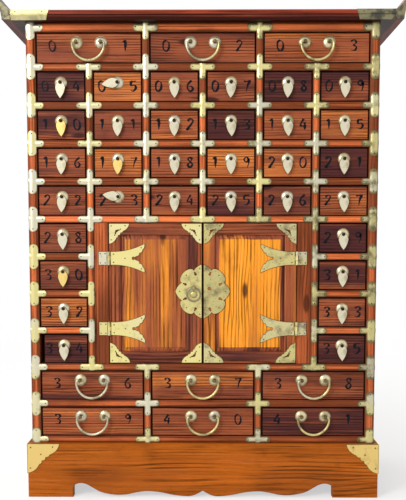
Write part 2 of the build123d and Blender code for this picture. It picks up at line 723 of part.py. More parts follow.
def pendant():
    """Flat leaf with a hole near its round top and a point at the bottom."""
    top = (0, PENDANT_CROWN)
    right = (PENDANT_HALF_WIDTH, -PENDANT_SHOULDER)
    left = (-PENDANT_HALF_WIDTH, -PENDANT_SHOULDER)
    tip = (0, -PENDANT_LENGTH)
    shoulder = (PENDANT_HALF_WIDTH * 0.76, -PENDANT_SHOULDER * 0.16)
    flank = (PENDANT_HALF_WIDTH * 0.68, -PENDANT_SHOULDER - (PENDANT_LENGTH - PENDANT_SHOULDER) * 0.5)
    edges = ThreePointArc(top, shoulder, right) + ThreePointArc(right, flank, tip)
    edges += ThreePointArc(tip, (-flank[0], flank[1]), left)
    edges += ThreePointArc(left, (-shoulder[0], shoulder[1]), top)
    leaf = make_face(edges) - Circle(PENDANT_STUD + PENDANT_HOLE_GAP)
    return sheet_cut(leaf, -ROSETTE_HEIGHT - PENDANT_STANDOFF, PENDANT_THICKNESS)


def bail_eye():
    """Post on a rosette, cross-bored for the end of a bail."""
    length = BAIL_STANDOFF + EYE_COVER - ROSETTE_HEIGHT
    post = Pos(0, -ROSETTE_HEIGHT - length / 2, 0) * Rot(90, 0, 0) * Cylinder(EYE_RADIUS, length)
    bore = Rot(0, 90, 0) * Cylinder(BAIL_WIRE + BAIL_RUN_GAP, 3 * EYE_RADIUS)
    return post - Pos(0, -BAIL_STANDOFF, 0) * bore


def bail():
    """Half-round drop handle whose bent-in ends turn in the two eyes; its turning line is the X axis."""
    eye = BAIL_SPACING / 2
    low = -BAIL_BEND
    straight = BAIL_RADIUS - BAIL_BEND
    lean = BAIL_BEND * (1 - math.sqrt(0.5))
    path = Line((eye - BAIL_STUB, 0), (straight, 0))
    path += ThreePointArc((straight, 0), (BAIL_RADIUS - lean, -lean), (BAIL_RADIUS, low))
    path += ThreePointArc((BAIL_RADIUS, low), (0, low - BAIL_RADIUS), (-BAIL_RADIUS, low))
    path += ThreePointArc((-BAIL_RADIUS, low), (-BAIL_RADIUS + lean, -lean), (-straight, 0))
    path += Line((-straight, 0), (-eye + BAIL_STUB, 0))
    route = Plane.XZ * path
    section = Plane(origin=(eye - BAIL_STUB, 0, 0), z_dir=(1, 0, 0)) * Circle(BAIL_WIRE)
    return sweep(section, path=route)


ROSETTE = rosette()
STUD = stud()
PENDANT = pendant()
BAIL_EYE = bail_eye()
BAIL = bail()


def drawer_box(row, left, width, shrink=0):
    """Front, sides, back and bottom of a drawer that fills an opening."""
    x0 = left + SIDE_GAP + shrink
    x1 = left + width - SIDE_GAP
    z0 = row_floor(row) + RUN_GAP
    z1 = row_floor(row) + CELL_HEIGHT - TOP_GAP
    box_y = FACE_Y + FRONT_THICKNESS
    front = block((x0, x1), (FACE_Y, box_y), (z0, z1))
    front = chamfer(front.faces().sort_by(Axis.Y)[0].edges(), FRONT_EASE)
    walls = (z0 + BOX_BOTTOM, z1 - BOX_SIDE_DROP)
    return [
        front,
        block((x0, x0 + BOX_SIDE), (box_y, BOX_BACK_Y), walls),
        block((x1 - BOX_SIDE, x1), (box_y, BOX_BACK_Y), walls),
        block((x0 + BOX_SIDE, x1 - BOX_SIDE), (BOX_BACK_Y - BOX_SIDE, BOX_BACK_Y), walls),
        block((x0, x1), (box_y, BOX_BACK_Y), (z0, z0 + BOX_BOTTOM)),
    ]


def small_drawer(row, column):
    """One-column drawer with a leaf pendant on a stud."""
    left = column_left(column)
    place_name = f"row{row:02d}_col{column}"
    shrink = SHRUNK_GAP if place_name == SHRUNK_DRAWER else 0
    turn = SWUNG_PENDANTS.get(place_name, 0)
    place = Pos(left + CELL_WIDTH / 2, FACE_Y, row_floor(row) + CELL_HEIGHT / 2 + PENDANT_RAISE)
    pull = [place * ROSETTE, place * STUD, place * Rot(0, turn, 0) * PENDANT]
    return drawer_box(row, left, CELL_WIDTH, shrink) + pull


def bail_place(row, column):
    """Middle of a wide drawer's bail, on the drawer's face."""
    middle = column_left(2 * column - 1) + WIDE_WIDTH / 2
    return middle, row_floor(row) + CELL_HEIGHT / 2 + BAIL_RAISE


def wide_drawer(row, column):
    """Two-column drawer with two rosettes and the eyes of its bail."""
    middle, height = bail_place(row, column)
    pull = []
    for side in (-1, 1):
        place = Pos(middle + side * BAIL_SPACING / 2, FACE_Y, height)
        pull += [place * ROSETTE, place * BAIL_EYE]
    return drawer_box(row, column_left(2 * column - 1), WIDE_WIDTH) + pull


def mirrored(pieces):
    """The same pieces on the other side of the chest."""
    return [mirror(piece, about=Plane.YZ) for piece in pieces]


def brass_fittings():
    """All brass that is fixed to the case, the top and the base."""
    pieces = joint_plates()
    corner = base_corner()
    cap = top_cap()
    pieces += [corner, mirror(corner, about=Plane.YZ), cap, mirror(cap, about=Plane.YZ)]
    for level in HINGE_LEVELS:
        hinge = jamb_hinge(level)
        pieces += hinge + mirrored(hinge)
    return pieces


def nodes():
    """Every node by name, as a list of separate solids."""
    brass = right_door_brass()
    found = {
        "top_board": top_board(),
        "case_boards": case_boards(),
        "front_frame": front_frame(),
        "base_plinth": base_plinth(),
        "brass_fittings": brass_fittings(),
        "left_door": mirrored(right_door_wood()),
        "right_door": right_door_wood(),
        "left_door_brass": mirrored(brass) + ring_mount(),
        "right_door_brass": brass[:-1] + [brass[-1] - lock_hole()],
        "door_ring": door_ring(),
    }
    for row in range(1, ROWS + 1):
        if row in WIDE_ROWS:
            for column in range(1, COLUMNS // 2 + 1):
                middle, height = bail_place(row, column)
                place = Pos(middle, FACE_Y - BAIL_STANDOFF, height)
                found[f"bail_row{row:02d}_col{column}"] = [place * BAIL]
                found[f"wide_drawer_row{row:02d}_col{column}"] = wide_drawer(row, column)
            continue
        columns = (1, COLUMNS) if row in CUPBOARD_ROWS else range(1, COLUMNS + 1)
        for column in columns:
            found[f"drawer_row{row:02d}_col{column}"] = small_drawer(row, column)
    return found


os.makedirs("parts", exist_ok=True)
for name, pieces in nodes().items():
    solids = [solid for piece in pieces for solid in piece.solids()]
    export_step(Compound(children=solids), f"parts/{name}.step")
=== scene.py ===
import math
import random
from collections import Counter, namedtuple

import bmesh
import bpy
from bpy.props import FloatProperty, FloatVectorProperty, IntProperty, PointerProperty
from mathutils import Matrix, Vector
from mathutils.geometry import tessellate_polygon


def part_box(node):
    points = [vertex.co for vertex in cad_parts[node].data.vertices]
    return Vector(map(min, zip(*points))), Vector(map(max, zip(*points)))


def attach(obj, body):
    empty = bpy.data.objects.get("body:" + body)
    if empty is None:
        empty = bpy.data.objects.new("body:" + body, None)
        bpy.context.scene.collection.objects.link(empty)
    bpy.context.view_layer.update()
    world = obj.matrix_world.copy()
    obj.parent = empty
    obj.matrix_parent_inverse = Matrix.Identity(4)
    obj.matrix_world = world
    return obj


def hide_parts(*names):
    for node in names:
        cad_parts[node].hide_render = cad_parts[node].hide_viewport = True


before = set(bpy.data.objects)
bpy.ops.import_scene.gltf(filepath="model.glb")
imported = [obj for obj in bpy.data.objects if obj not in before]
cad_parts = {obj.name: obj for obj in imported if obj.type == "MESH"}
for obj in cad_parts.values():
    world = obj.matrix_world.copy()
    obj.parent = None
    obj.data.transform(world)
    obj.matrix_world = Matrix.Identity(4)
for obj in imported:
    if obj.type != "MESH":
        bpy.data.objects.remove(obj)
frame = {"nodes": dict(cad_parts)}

bl_info = {
    "name": "Medicine chest",
    "version": (1, 0, 0),
    "blender": (4, 5, 0),
    "location": "3D View > Sidebar > Chest",
    "description": "Builds a brass-bound medicine chest round its CAD frame, with its materials and a studio",
    "category": "Object",
}

# Rows of the front, counted from the top, and columns

ROWS = 11
COLUMNS = 6
WIDE_ROWS = (1, 10, 11)
CUPBOARD_ROWS = (6, 7, 8, 9)

# Tones of the drawer fronts, from dark to light; a drawer in none of these is middling

MIDDLING = 0.5
DRAWER_TONES = {
    0.08: "r02c1 r02c5 r02c6 r03c4 r04c6 r06c6 r09c1 r09c6 r11c3".split(),
    0.24: "r01c2 r03c1 r04c1 r05c1 r05c4 r06c1 r07c1 r07c6 r08c6 r10c3".split(),
    0.86: "r02c2 r03c6 r04c2 r04c4".split(),
}

# Drawers whose leaf is of yellower brass, and those whose leaf has swung aside, in degrees

YELLOW_LEAVES = "r03c1 r04c2 r07c1".split()
SWUNG_LEAVES = {"r02c2": 82, "r05c2": 98}


# Settings

def length(label, default, words):
    """Length setting in metres."""
    return FloatProperty(name=label, description=words, default=default, unit="LENGTH", precision=5)


def colour(label, default, words):
    """Colour setting."""
    return FloatVectorProperty(name=label, description=words, default=default, subtype="COLOR", min=0, max=1)


def angle(label, degrees, words):
    """Angle setting, given in degrees."""
    return FloatProperty(name=label, description=words, default=math.radians(degrees), subtype="ANGLE")


def amount(label, default, words, **kind):
    """Setting for a number that isn't negative."""
    return FloatProperty(name=label, description=words, default=default, min=0, **kind)


class ChestGrid(bpy.types.PropertyGroup):
    """Grid of the front, as in the CAD frame."""

    cell_width: length("Cell width", 0.0905, "Width of a one-column opening")
    cell_height: length("Cell height", 0.056, "Height of an opening")
    bar: length("Bar", 0.0125, "Width of a stile and height of a rail")
    top_rail: length("Top rail", 0.016, "Height of the top rail")
    post: length("Post", 0.017, "Width of a corner post")
    base: length("Base", 0.102, "Height of the base")
    stile_crown: length("Stile crown", 0.0028, "Swell of a stile's front")
    rail_crown: length("Rail crown", 0.0024, "Swell of a rail's front")
    post_crown: length("Post crown", 0.0034, "Swell of a post's front")
    front: length("Front", -0.11935, "Place of the frame's shoulders and of the doors' faces along Y")
    back: length("Back", 0.14065, "Place of the case's back along Y")
    bar_depth: length("Bar depth", 0.02, "Depth of a stile or rail")
    post_depth: length("Post depth", 0.03, "Depth of a post")
    jamb: length("Jamb", 0.026, "Width of a cupboard jamb")


class ChestBrass(bpy.types.PropertyGroup):
    """Brass sheet and its nails."""

    sheet: length("Sheet", 0.0012, "Thickness of the brass sheet")
    bed: length("Bed", 0.0001, "Gap under the brass sheet")
    arm: length("Arm", 0.023, "Reach of a joint plate's arm from its middle")
    inset: length("Inset", 0.0004, "Bare wood left beside a joint plate's arm")
    ease: length("Ease", 0.0003, "Rounding of the top caps' edges")
    # The flat plates' eased rim takes the dark nail brass: tarnish, and painted shade of the gap under the
    # edge
    rim: length("Rim", 0.0007, "Worn edge of the flat plates")
    nail: length("Nail", 0.00125, "Radius of a nail head")
    ring: length("Ring", 0.0124, "Radius of the pull ring")
    wire: length("Wire", 0.0019, "Radius of a bail's wire")


class ChestWood(bpy.types.PropertyGroup):
    """Colours of the wood."""

    dark: colour("Dark", (0.072, 0.019, 0.018), "Darkest drawers")
    middle: colour("Middle", (0.335, 0.086, 0.033), "Middling drawers")
    bright: colour("Bright", (0.60, 0.180, 0.042), "Lightest drawers")
    frame: colour("Frame", (0.61, 0.142, 0.042), "Stiles and rails")
    panel: colour("Panel", (0.92, 0.32, 0.026), "Lightest part of the doors")
    top: colour("Top", (0.150, 0.024, 0.010), "Top board")
    base: colour("Base", (0.39, 0.094, 0.006), "Base")
    case: colour("Case", (0.30, 0.080, 0.022), "Sides, back and inside")
    ease: length("Ease", 0.0008, "Rounding of the boards' edges")
    seed: IntProperty(name="Seed", description="Seed of the boards' grain and tone", default=11, min=0)


class ChestStudio(bpy.types.PropertyGroup):
    """Camera and light."""

    camera: FloatVectorProperty(
        name="Camera", description="Place of the camera", default=(0.0106, -1.41935, 0.4797),
        subtype="TRANSLATION", unit="LENGTH")
    pitch: angle("Pitch", 4.008, "Downward tilt of the camera")
    yaw: angle("Yaw", 0.441, "Turn of the camera to the left")
    lens: amount("Lens", 62.54, "Focal length in millimetres", unit="CAMERA")
    shift: amount("Shift", 0.099, "Upward shift of the picture, as a share of its longer side")
    key: amount("Key", 32, "Power of the light at the left, in watts", unit="POWER")
    fill: amount("Fill", 1.6, "Power of the light at the right, in watts", unit="POWER")
    white: amount("White", 0.55, "How far the floor near the chest is white", max=1, subtype="FACTOR")
    sky: amount("Sky", 1.38, "Strength of the light from all round, at the left")
    dusk: amount("Dusk", 0.24, "Strength of the light from all round, at the right")


GROUPS = {
    "chest_grid": ChestGrid,
    "chest_brass": ChestBrass,
    "chest_wood": ChestWood,
    "chest_studio": ChestStudio,
}


def grid():
    """The grid's settings."""
    return bpy.context.scene.chest_grid


def brass():
    """The brass's settings."""
    return bpy.context.scene.chest_brass


def wood():
    """The wood's settings."""
    return bpy.context.scene.chest_wood


# Places in the grid

def half_inside():
    """Half the width between the corner posts."""
    return (COLUMNS * grid().cell_width + (COLUMNS - 1) * grid().bar) / 2


def half_case():
    """Half the width of the case."""
    return half_inside() + grid().post


def half_cupboard():
    """Half the width between the long stiles beside the cupboard."""
    return half_inside() - grid().cell_width - grid().bar


def column_left(column):
    """Left edge of a column's openings."""
    return -half_inside() + (column - 1) * (grid().cell_width + grid().bar)


def stile_x(boundary):
    """Middle of the stile or post at the right of a column, or of the left post for 0."""
    if boundary == 0:
        return -half_case() + grid().post / 2
    if boundary == COLUMNS:
        return half_case() - grid().post / 2
    return column_left(boundary + 1) - grid().bar / 2


def row_floor(row):
    """Height of the floor of a row's openings."""
    return grid().base + grid().bar + (ROWS - row) * (grid().cell_height + grid().bar)


def case_top():
    """Height of the case, under the top board."""
    return row_floor(1) + grid().cell_height + grid().top_rail


def rail_z(level):
    """Middle height of the rail under a row, or of the top rail for 0."""
    return row_floor(level) - grid().bar / 2 if level else case_top() - grid().top_rail / 2


def stiles_in(row):
    """Boundaries with a stile in a row, between the posts."""
    if row in WIDE_ROWS:
        return (2, 4)
    return (1, 5) if row in CUPBOARD_ROWS else (1, 2, 3, 4, 5)


def stretches(level, half):
    """Ends of the rails or shelves at a level; beside the cupboard they stop at half its width."""
    inside = half_inside()
    if level in CUPBOARD_ROWS[:-1]:
        return [(-inside, -half), (half, inside)]
    return [(-inside, inside)]


# Solids

GRAIN_ORDER = {"X": (0, 1, 2), "Y": (1, 0, 2), "Z": (2, 1, 0)}
LOG_REACH = 8
NAIL_SINK = 0.0002
NAIL_FOOT = 0.96
NAIL_DOME = ((1, 0.12), (0.8, 0.42), (0.42, 0.62), (0.1, 0.68))
SHARP_ANGLE = 32
MITRE_LIMIT = 0.5
TINY = 1e-9


class Shape:
    """Closed solids gathered into one mesh, in metres, in the chest's frame."""

    def __init__(self, seed=0):
        self.points = []
        self.faces = []
        self.kinds = []
        self.grain = []
        self.tones = []
        self.chance = random.Random(seed)

    def add(self, points, faces, grain="X", tone=0.5, kind=0, rims=(), rim=None):
        """One closed solid. Its grain runs along an axis, from a place in the log of its own.

        The tone is a number or a function of the point, and kind is the place of its material in the
        piece's list. The faces in rims take the material rim instead, if one is given.
        """
        first = len(self.points)
        shift = [self.chance.uniform(-LOG_REACH, LOG_REACH) for _ in range(3)]
        for p in points:
            self.points.append(tuple(p))
            self.grain.append([p[i] + s for i, s in zip(GRAIN_ORDER[grain], shift)])
            self.tones.append(tone(p) if callable(tone) else tone)
        self.faces += [[first + i for i in face] for face in faces]
        kinds = [kind] * len(faces)
        for i in rims if rim is not None else ():
            kinds[i] = rim
        self.kinds += kinds
        return self

    def board(self, low, high, ease=None, **marks):
        """Box with eased edges."""
        ease = wood().ease if ease is None else ease
        low, high = [[f(a, b) for a, b in zip(low, high)] for f in (min, max)]
        points = []
        names = {}
        for corner in range(8):
            up = [corner >> axis & 1 for axis in range(3)]
            for flat in range(3):
                names[corner, flat] = len(points)
                cut = [0 if axis == flat else ease * (1 - 2 * up[axis]) for axis in range(3)]
                points.append([(high if up[axis] else low)[axis] + cut[axis] for axis in range(3)])
        edges = [[names[corner, flat] for flat in range(3)] for corner in range(8)]
        flats = []
        for axis in range(3):
            one, two = [a for a in range(3) if a != axis]
            for u, v in ((0, 0), (1, 0), (0, 1), (1, 1)):
                a = u << one | v << two
                b = a | 1 << axis
                edges.append([names[a, one], names[b, one], names[b, two], names[a, two]])
            for end in (0, 1):
                loop = ((0, 0), (1, 0), (1, 1), (0, 1))
                flats.append([names[end << axis | u << one | v << two, axis] for u, v in loop])
        return self.add(points, edges + flats, rims=range(len(edges)), **marks)

    def loft(self, rings, closed=False, **marks):
        """Skin over rings of equal count, with an end face on the first and the last, or closed on itself."""
        count = len(rings[0])
        points = [p for ring in rings for p in ring]
        faces = []
        turns = len(rings) if closed else len(rings) - 1
        for i in range(turns):
            a, b = i * count, (i + 1) % len(rings) * count
            faces += [[a + j, a + (j + 1) % count, b + (j + 1) % count, b + j] for j in range(count)]
        if not closed:
            faces += [list(range(count)), list(range(len(points) - count, len(points)))]
        return self.add(points, faces, **marks)

    def prism(self, section, axis, low, high, ease=0.0, **marks):
        """Section given across an axis, drawn along it, with eased ends."""
        section = wound(section, True)
        rings = [(section, low), (section, high)]
        if ease:
            inner = inset(section, ease)
            rings = [(inner, low), (section, low + ease), (section, high - ease), (inner, high)]
        return self.loft([[placed(u, v, at, axis) for u, v in loop] for loop, at in rings], **marks)

    def lathe(self, profile, centre, axis="Y", count=24, **marks):
        """Profile of (radius, place) pairs turned about an axis through a centre; its ends are closed."""
        rings = []
        for radius, along in profile:
            loop = circle(0, 0, radius, count)
            rings.append([Vector(placed(u, v, along, axis)) + Vector(centre) for u, v in loop])
        return self.loft(rings, **marks)

    def tube(self, path, radii, count, closed=False, **marks):
        """Round wire along a path, with a radius for each point."""
        path = [Vector(p) for p in path]
        last = len(path) - 1
        side = None
        rings = []
        for i, p in enumerate(path):
            before = path[i - 1] if i or closed else p
            after = path[(i + 1) % len(path)] if i < last or closed else p
            along = (after - before).normalized()
            side = side or along.orthogonal()
            side = (side - along * side.dot(along)).normalized()
            across = along.cross(side)
            rings.append([p + (side * math.cos(t) + across * math.sin(t)) * radii[i] for t in turn(count)])
        return self.loft(rings, closed=closed, **marks)

    def sheet(self, outline, holes, front, back, ease, **marks):
        """Flat sheet in X and Z between two places along Y, pierced by holes and eased at its front edges."""
        points = []
        edges = []
        starts = []
        for number, loop in enumerate([outline, *holes]):
            loop = wound(loop, number == 0)
            count = len(loop)
            start = len(points)
            starts.append((start, count))
            points += [(u, front, v) for u, v in inset(loop, ease)]
            points += [(u, y, v) for y in (front + ease, back) for u, v in loop]
            for a in (start, start + count):
                b = a + count
                edges += [[a + j, a + (j + 1) % count, b + (j + 1) % count, b + j] for j in range(count)]
        flats = []
        for level in (0, 2):
            loops = []
            index = []
            for start, count in starts:
                ids = range(start + level * count, start + (level + 1) * count)
                loops.append([Vector((points[i][0], points[i][2], 0)) for i in ids])
                index += ids
            flats += [[index[i] for i in triangle] for triangle in tessellate_polygon(loops)]
        return self.add(points, edges + flats, rims=range(len(edges)), **marks)

    def nail(self, x, y, z, radius=None):
        """Domed nail head, of the second material, on a face that looks to the front."""
        r = radius or brass().nail
        profile = [(r * NAIL_FOOT, NAIL_SINK)] + [(r * u, -r * v) for u, v in NAIL_DOME]
        return self.lathe(profile, (x, y, z), count=12, kind=1)

    def moved(self, other, matrix, worn=0.0, log=(0, 0, 0)):
        """Takes over another shape's solids, moved, with their tone and place in the log shifted."""
        first = len(self.points)
        self.points += [tuple(matrix @ Vector(p)) for p in other.points]
        self.grain += [[c + step for c, step in zip(place, log)] for place in other.grain]
        self.tones += [tone + worn for tone in other.tones]
        self.faces += [[first + i for i in face] for face in other.faces]
        self.kinds += other.kinds

    def piece(self, name, body, finishes, slot, replaced):
        """The finished object, riding on a body and standing for a CAD node."""
        mesh = bpy.data.meshes.new(name)
        mesh.from_pydata(self.points, [], self.faces)
        grain = mesh.attributes.new("wood", "FLOAT_VECTOR", "POINT")
        grain.data.foreach_set("vector", [c for place in self.grain for c in place])
        mesh.attributes.new("tone", "FLOAT", "POINT").data.foreach_set("value", self.tones)
        for finish in finishes:
            mesh.materials.append(material(finish))
        mesh.polygons.foreach_set("material_index", self.kinds)
        work = bmesh.new()
        work.from_mesh(mesh)
        bmesh.ops.recalc_face_normals(work, faces=work.faces)
        work.to_mesh(mesh)
        work.free()
        mesh.shade_smooth()
        mesh.set_sharp_from_angle(angle=math.radians(SHARP_ANGLE))
        made = new_object(name, mesh)
        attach(made, body)
        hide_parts(replaced)


def new_object(name, data):
    """Object in the scene."""
    made = bpy.data.objects.new(name, data)
    bpy.context.scene.collection.objects.link(made)
    return made


def turn(count):
    """Angles of a full turn in equal steps."""
    return [2 * math.pi * i / count for i in range(count)]


def placed(u, v, along, axis):
    """Point from two places across an axis and one along it."""
    return {"X": (along, u, v), "Y": (u, along, v), "Z": (u, v, along)}[axis]


def mirrored(loop):
    """Points with their first number turned round, in reverse order."""
    return [(-u, v) for u, v in loop[::-1]]


def wound(loop, left):
    """The loop, running anticlockwise or clockwise."""
    area = sum(a[0] * b[1] - b[0] * a[1] for a, b in zip(loop, loop[1:] + loop[:1]))
    return loop if (area > 0) == left else loop[::-1]


def inset(loop, by):
    """The loop moved inward by a small step; a loop wound clockwise moves outward."""
    found = []
    for i, p in enumerate(loop):
        a, b = loop[i - 1], loop[(i + 1) % len(loop)]
        one = Vector((p[0] - a[0], p[1] - a[1])).normalized()
        two = Vector((b[0] - p[0], b[1] - p[1])).normalized()
        square = Vector((-one.y, one.x))
        normal = Vector((-one.y - two.y, one.x + two.x))
        normal = normal.normalized() if normal.length > TINY else square
        reach = by / max(MITRE_LIMIT, normal.dot(square))
        found.append((p[0] + normal.x * reach, p[1] + normal.y * reach))
    return found


def arc(a, middle, b, count=10, last=True):
    """Points on the circle through three places."""
    ax, ay, bx, by, cx, cy = *a, *middle, *b
    d = 2 * (ax * (by - cy) + bx * (cy - ay) + cx * (ay - by))
    p, q, r = ax * ax + ay * ay, bx * bx + by * by, cx * cx + cy * cy
    ux = (p * (by - cy) + q * (cy - ay) + r * (ay - by)) / d
    uy = (p * (cx - bx) + q * (ax - cx) + r * (bx - ax)) / d
    start, mid, end = [math.atan2(y - uy, x - ux) for x, y in (a, middle, b)]
    span = (end - start) % (2 * math.pi)
    if (mid - start) % (2 * math.pi) > span:
        span -= 2 * math.pi
    radius = math.hypot(ax - ux, ay - uy)
    turns = [start + span * i / count for i in range(count + 1 if last else count)]
    return [(ux + radius * math.cos(t), uy + radius * math.sin(t)) for t in turns]


def arcs(*knots):
    """Closed loop of points, each followed by the middle of the arc to the next, or None if straight."""
    loop = []
    ends = knots[::2]
    for i, (a, middle) in enumerate(zip(ends, knots[1::2])):
        b = ends[(i + 1) % len(ends)]
        loop += arc(a, middle, b, last=False) if middle else [a]
    return loop


def circle(x, z, radius, count=14):
    """Points round a circle."""
    return [(x + radius * math.cos(t), z + radius * math.sin(t)) for t in turn(count)]


def curve(points, steps):
    """Smooth line through points, with some steps between each two."""
    found = []
    ends = [points[0], *points, points[-1]]
    for a, b, c, d in zip(ends, ends[1:], ends[2:], ends[3:]):
        for i in range(steps):
            t = i / steps
            spot = []
            for p, q, r, s in zip(a, b, c, d):
                slope, bend, twist = r - p, 2 * p - 5 * q + 4 * r - s, 3 * q - p - 3 * r + s
                spot.append(0.5 * (2 * q + slope * t + bend * t * t + twist * t ** 3))
            found.append(tuple(spot))
    return found + [tuple(points[-1])]


def near(x, z, lines):
    """Distance from a place to the nearest of some lines."""
    found = []
    for (ax, az), (bx, bz) in lines:
        dx, dz = bx - ax, bz - az
        t = ((x - ax) * dx + (z - az) * dz) / max(1e-12, dx * dx + dz * dz)
        t = min(1, max(0, t))
        found.append(math.hypot(x - ax - t * dx, z - az - t * dz))
    return min(found)


def crown(across, width, swell):
    """How far a round face stands out at a place across it."""
    radius = (width * width / 4 + swell * swell) / (2 * swell)
    return math.sqrt(max(0, radius * radius - across * across)) - radius + swell


def crowned(width, swell, depth, ease=0.0006, count=12):
    """Section of a stile or rail, as places across it and along Y: round at the front, eased at the back."""
    half = width / 2
    across = [-half + width * i / count for i in range(count + 1)]
    front = [(u, grid().front - crown(u, width, swell)) for u in across]
    back = grid().front + depth
    return front + [(half, back - ease), (half - ease, back), (-half + ease, back), (-half, back - ease)]


# Materials

class Wire:
    """Output of a node, for sums in Python: numbers go through Math nodes, vectors through Vector Math."""

    def __init__(self, tree, socket=None):
        self.tree = tree
        self.socket = socket

    def plug(self, node, **values):
        """Sets or links a node's inputs. Key i3 is the fourth input; a name has _ for each space."""
        for key, value in values.items():
            numbered = key[0] == "i" and key[1:].isdigit()
            place = node.inputs[int(key[1:]) if numbered else key.replace("_", " ")]
            if isinstance(value, Wire):
                self.tree.links.new(value.socket, place)
            else:
                place.default_value = value

    def node(self, kind, settings=None, output=0, **values):
        """Any node: its settings first, then what its sockets hold or are linked to."""
        made = self.tree.nodes.new(kind)
        for key, value in (settings or {}).items():
            setattr(made, key, value)
        self.plug(made, **values)
        return Wire(self.tree, made.outputs[output])

    def maths(self, operation, *terms):
        """Math node, or a Vector Math node where one of the terms is a vector."""
        wires = [t for t in terms if isinstance(t, Wire)]
        vector = any(isinstance(t, tuple) for t in terms) or any(w.socket.type == "VECTOR" for w in wires)
        kind = "ShaderNodeVectorMath" if vector else "ShaderNodeMath"
        return self.node(kind, {"operation": operation}, **{f"i{n}": t for n, t in enumerate(terms)})

    def __add__(self, other):
        return self.maths("ADD", self, other)

    def __radd__(self, other):
        return self.maths("ADD", other, self)

    def __sub__(self, other):
        return self.maths("SUBTRACT", self, other)

    def __rsub__(self, other):
        return self.maths("SUBTRACT", other, self)

    def __mul__(self, other):
        return self.maths("MULTIPLY", self, other)

    def __rmul__(self, other):
        return self.maths("MULTIPLY", other, self)

    def attribute(self, name, output):
        """What a mesh holds at each point under a name."""
        return self.node("ShaderNodeAttribute", {"attribute_name": name}, output)

    def step(self, low, high, start=0.0, end=1.0):
        """Smooth step from start to end while the value goes from low to high."""
        return self.node("ShaderNodeMapRange", {"interpolation_type": "SMOOTHSTEP"},
                         Value=self, From_Min=low, From_Max=high, To_Min=start, To_Max=end)

    def blend(self, one, two):
        """Colour between two, by this value."""
        return self.node("ShaderNodeMix", {"data_type": "RGBA"}, 2, i0=self, i6=one, i7=two)

    def toned(self, value, saturation):
        """This colour, lighter or darker and more or less strong."""
        return self.node("ShaderNodeHueSaturation", Color=self, Value=value, Saturation=saturation)

    def noise(self, scale, detail, rough=0.55, twist=0.0):
        """Noise in the space of this vector, from 0 to 1."""
        return self.node("ShaderNodeTexNoise", Vector=self, Scale=scale, Detail=detail, Roughness=rough,
                         Distortion=twist)

    def grain(self, along, across, *settings):
        """Noise drawn out along the grain, with a scale along it and one across it."""
        return (self * (along, across, across)).noise(1.0, *settings)

    def bump(self, strength, distance):
        """Normal for this height."""
        return self.node("ShaderNodeBump", Strength=strength, Distance=distance, Height=self)


def rgba(shade):
    """The colour with full alpha."""
    return (*shade, 1.0)


def scaled(shade, by):
    """The colour, lighter or darker."""
    return [c * by for c in shade]


def new_material(name):
    """Shader of a new material, and the start of its wires."""
    made = bpy.data.materials.new(name)
    made.use_nodes = True
    return made.node_tree.nodes["Principled BSDF"], Wire(made.node_tree)


WAX_SHINE = 0.10
PLUM = (0.03, 0.004, 0.007)
LIGHTNESS = (0.3, 0.6, 0.1)


def wood_material(name, low, middle, high, streaks, gloss, fine):
    """Waxed wood. The tone of a board picks its colour, and in places carries painted shade and light; grain,
    bands and knots follow the board's own log.
    """
    shader, start = new_material(name)
    log, tone = start.attribute("wood", "Vector"), start.attribute("tone", "Fac")
    depth, across = [log.node("ShaderNodeSeparateXYZ", None, axis, Vector=log) for axis in (1, 2)]
    cells = log.node("ShaderNodeTexVoronoi", None, "Distance", Vector=log * (5.0, 14.0, 14.0), Scale=1.0)
    zones = log.grain(3.0, 14.0, 2.0)
    bands = log.grain(1.5, 62.0, 3.0, 0.6)
    wave = log.grain(1.6, 22.0, 1.0)
    lines = log.grain(6.0, 240.0 * fine, 4.0, 0.62, 0.25)
    fade = log.grain(9.0, 34.0, 2.0).step(0.36, 0.62, 0.3, 1.15)
    pores = log.grain(55.0, 1500.0, 2.0)
    smudge = log.grain(14.0, 18.0, 3.0)
    cool = (log * (3.1, 11.0, 11.0) + (5.0, 2.0, 7.0)).noise(1.0, 2.0)

    # Colour by tone, in broad zones and bands, with cooler places
    level = tone + (zones - 0.5) * 1.25 + (bands - 0.5) * 1.15
    warm = level.step(0.0, 0.5).blend(rgba(low), rgba(middle))
    body = level.step(0.5, 1.0).blend(warm, rgba(high))
    plum = [c * 0.9 + d for c, d in zip(low, PLUM)]
    body = (cool.step(0.52, 0.72) * 0.45).blend(body, rgba(plum))

    # Dark fibres and year rings that bend round the knots, and light fibres
    bent = cells.step(0.42, 0.0) * 5.0
    rings = log.maths("SINE", across * (760.0 * fine) + depth * (430.0 * fine) + wave * 22.0 + bent)
    fibres = lines.step(0.49, 0.68) * 0.62
    years = (rings * 0.5 + 0.5).step(0.55, 1.0) * bands.step(0.30, 0.60) * 0.60
    streak = log.maths("MINIMUM", (fibres + years) * fade * streaks, 0.88)
    body = streak.blend(body, body.toned(0.24, 1.06))
    body = (lines.step(0.48, 0.24) * 0.32).blend(body, body.toned(1.6, 0.94))

    # Knots, grime and open pores
    knots = cells.step(0.11, 0.06) * 0.85
    grime = smudge.step(0.58, 0.76) * 0.34
    holes = pores.step(0.56, 0.70) * 0.36
    for mask, share in ((knots, 0.35), (grime, 0.42), (holes, 0.30)):
        body = mask.blend(body, rgba(scaled(low, share)))
    height = lines * 0.7 + pores * 0.5 + rings * 0.12
    start.plug(shader, Base_Color=body, Roughness=gloss + smudge * 0.16 + pores * 0.10,
               Normal=height.bump(0.22, 0.0007), Specular_IOR_Level=WAX_SHINE)


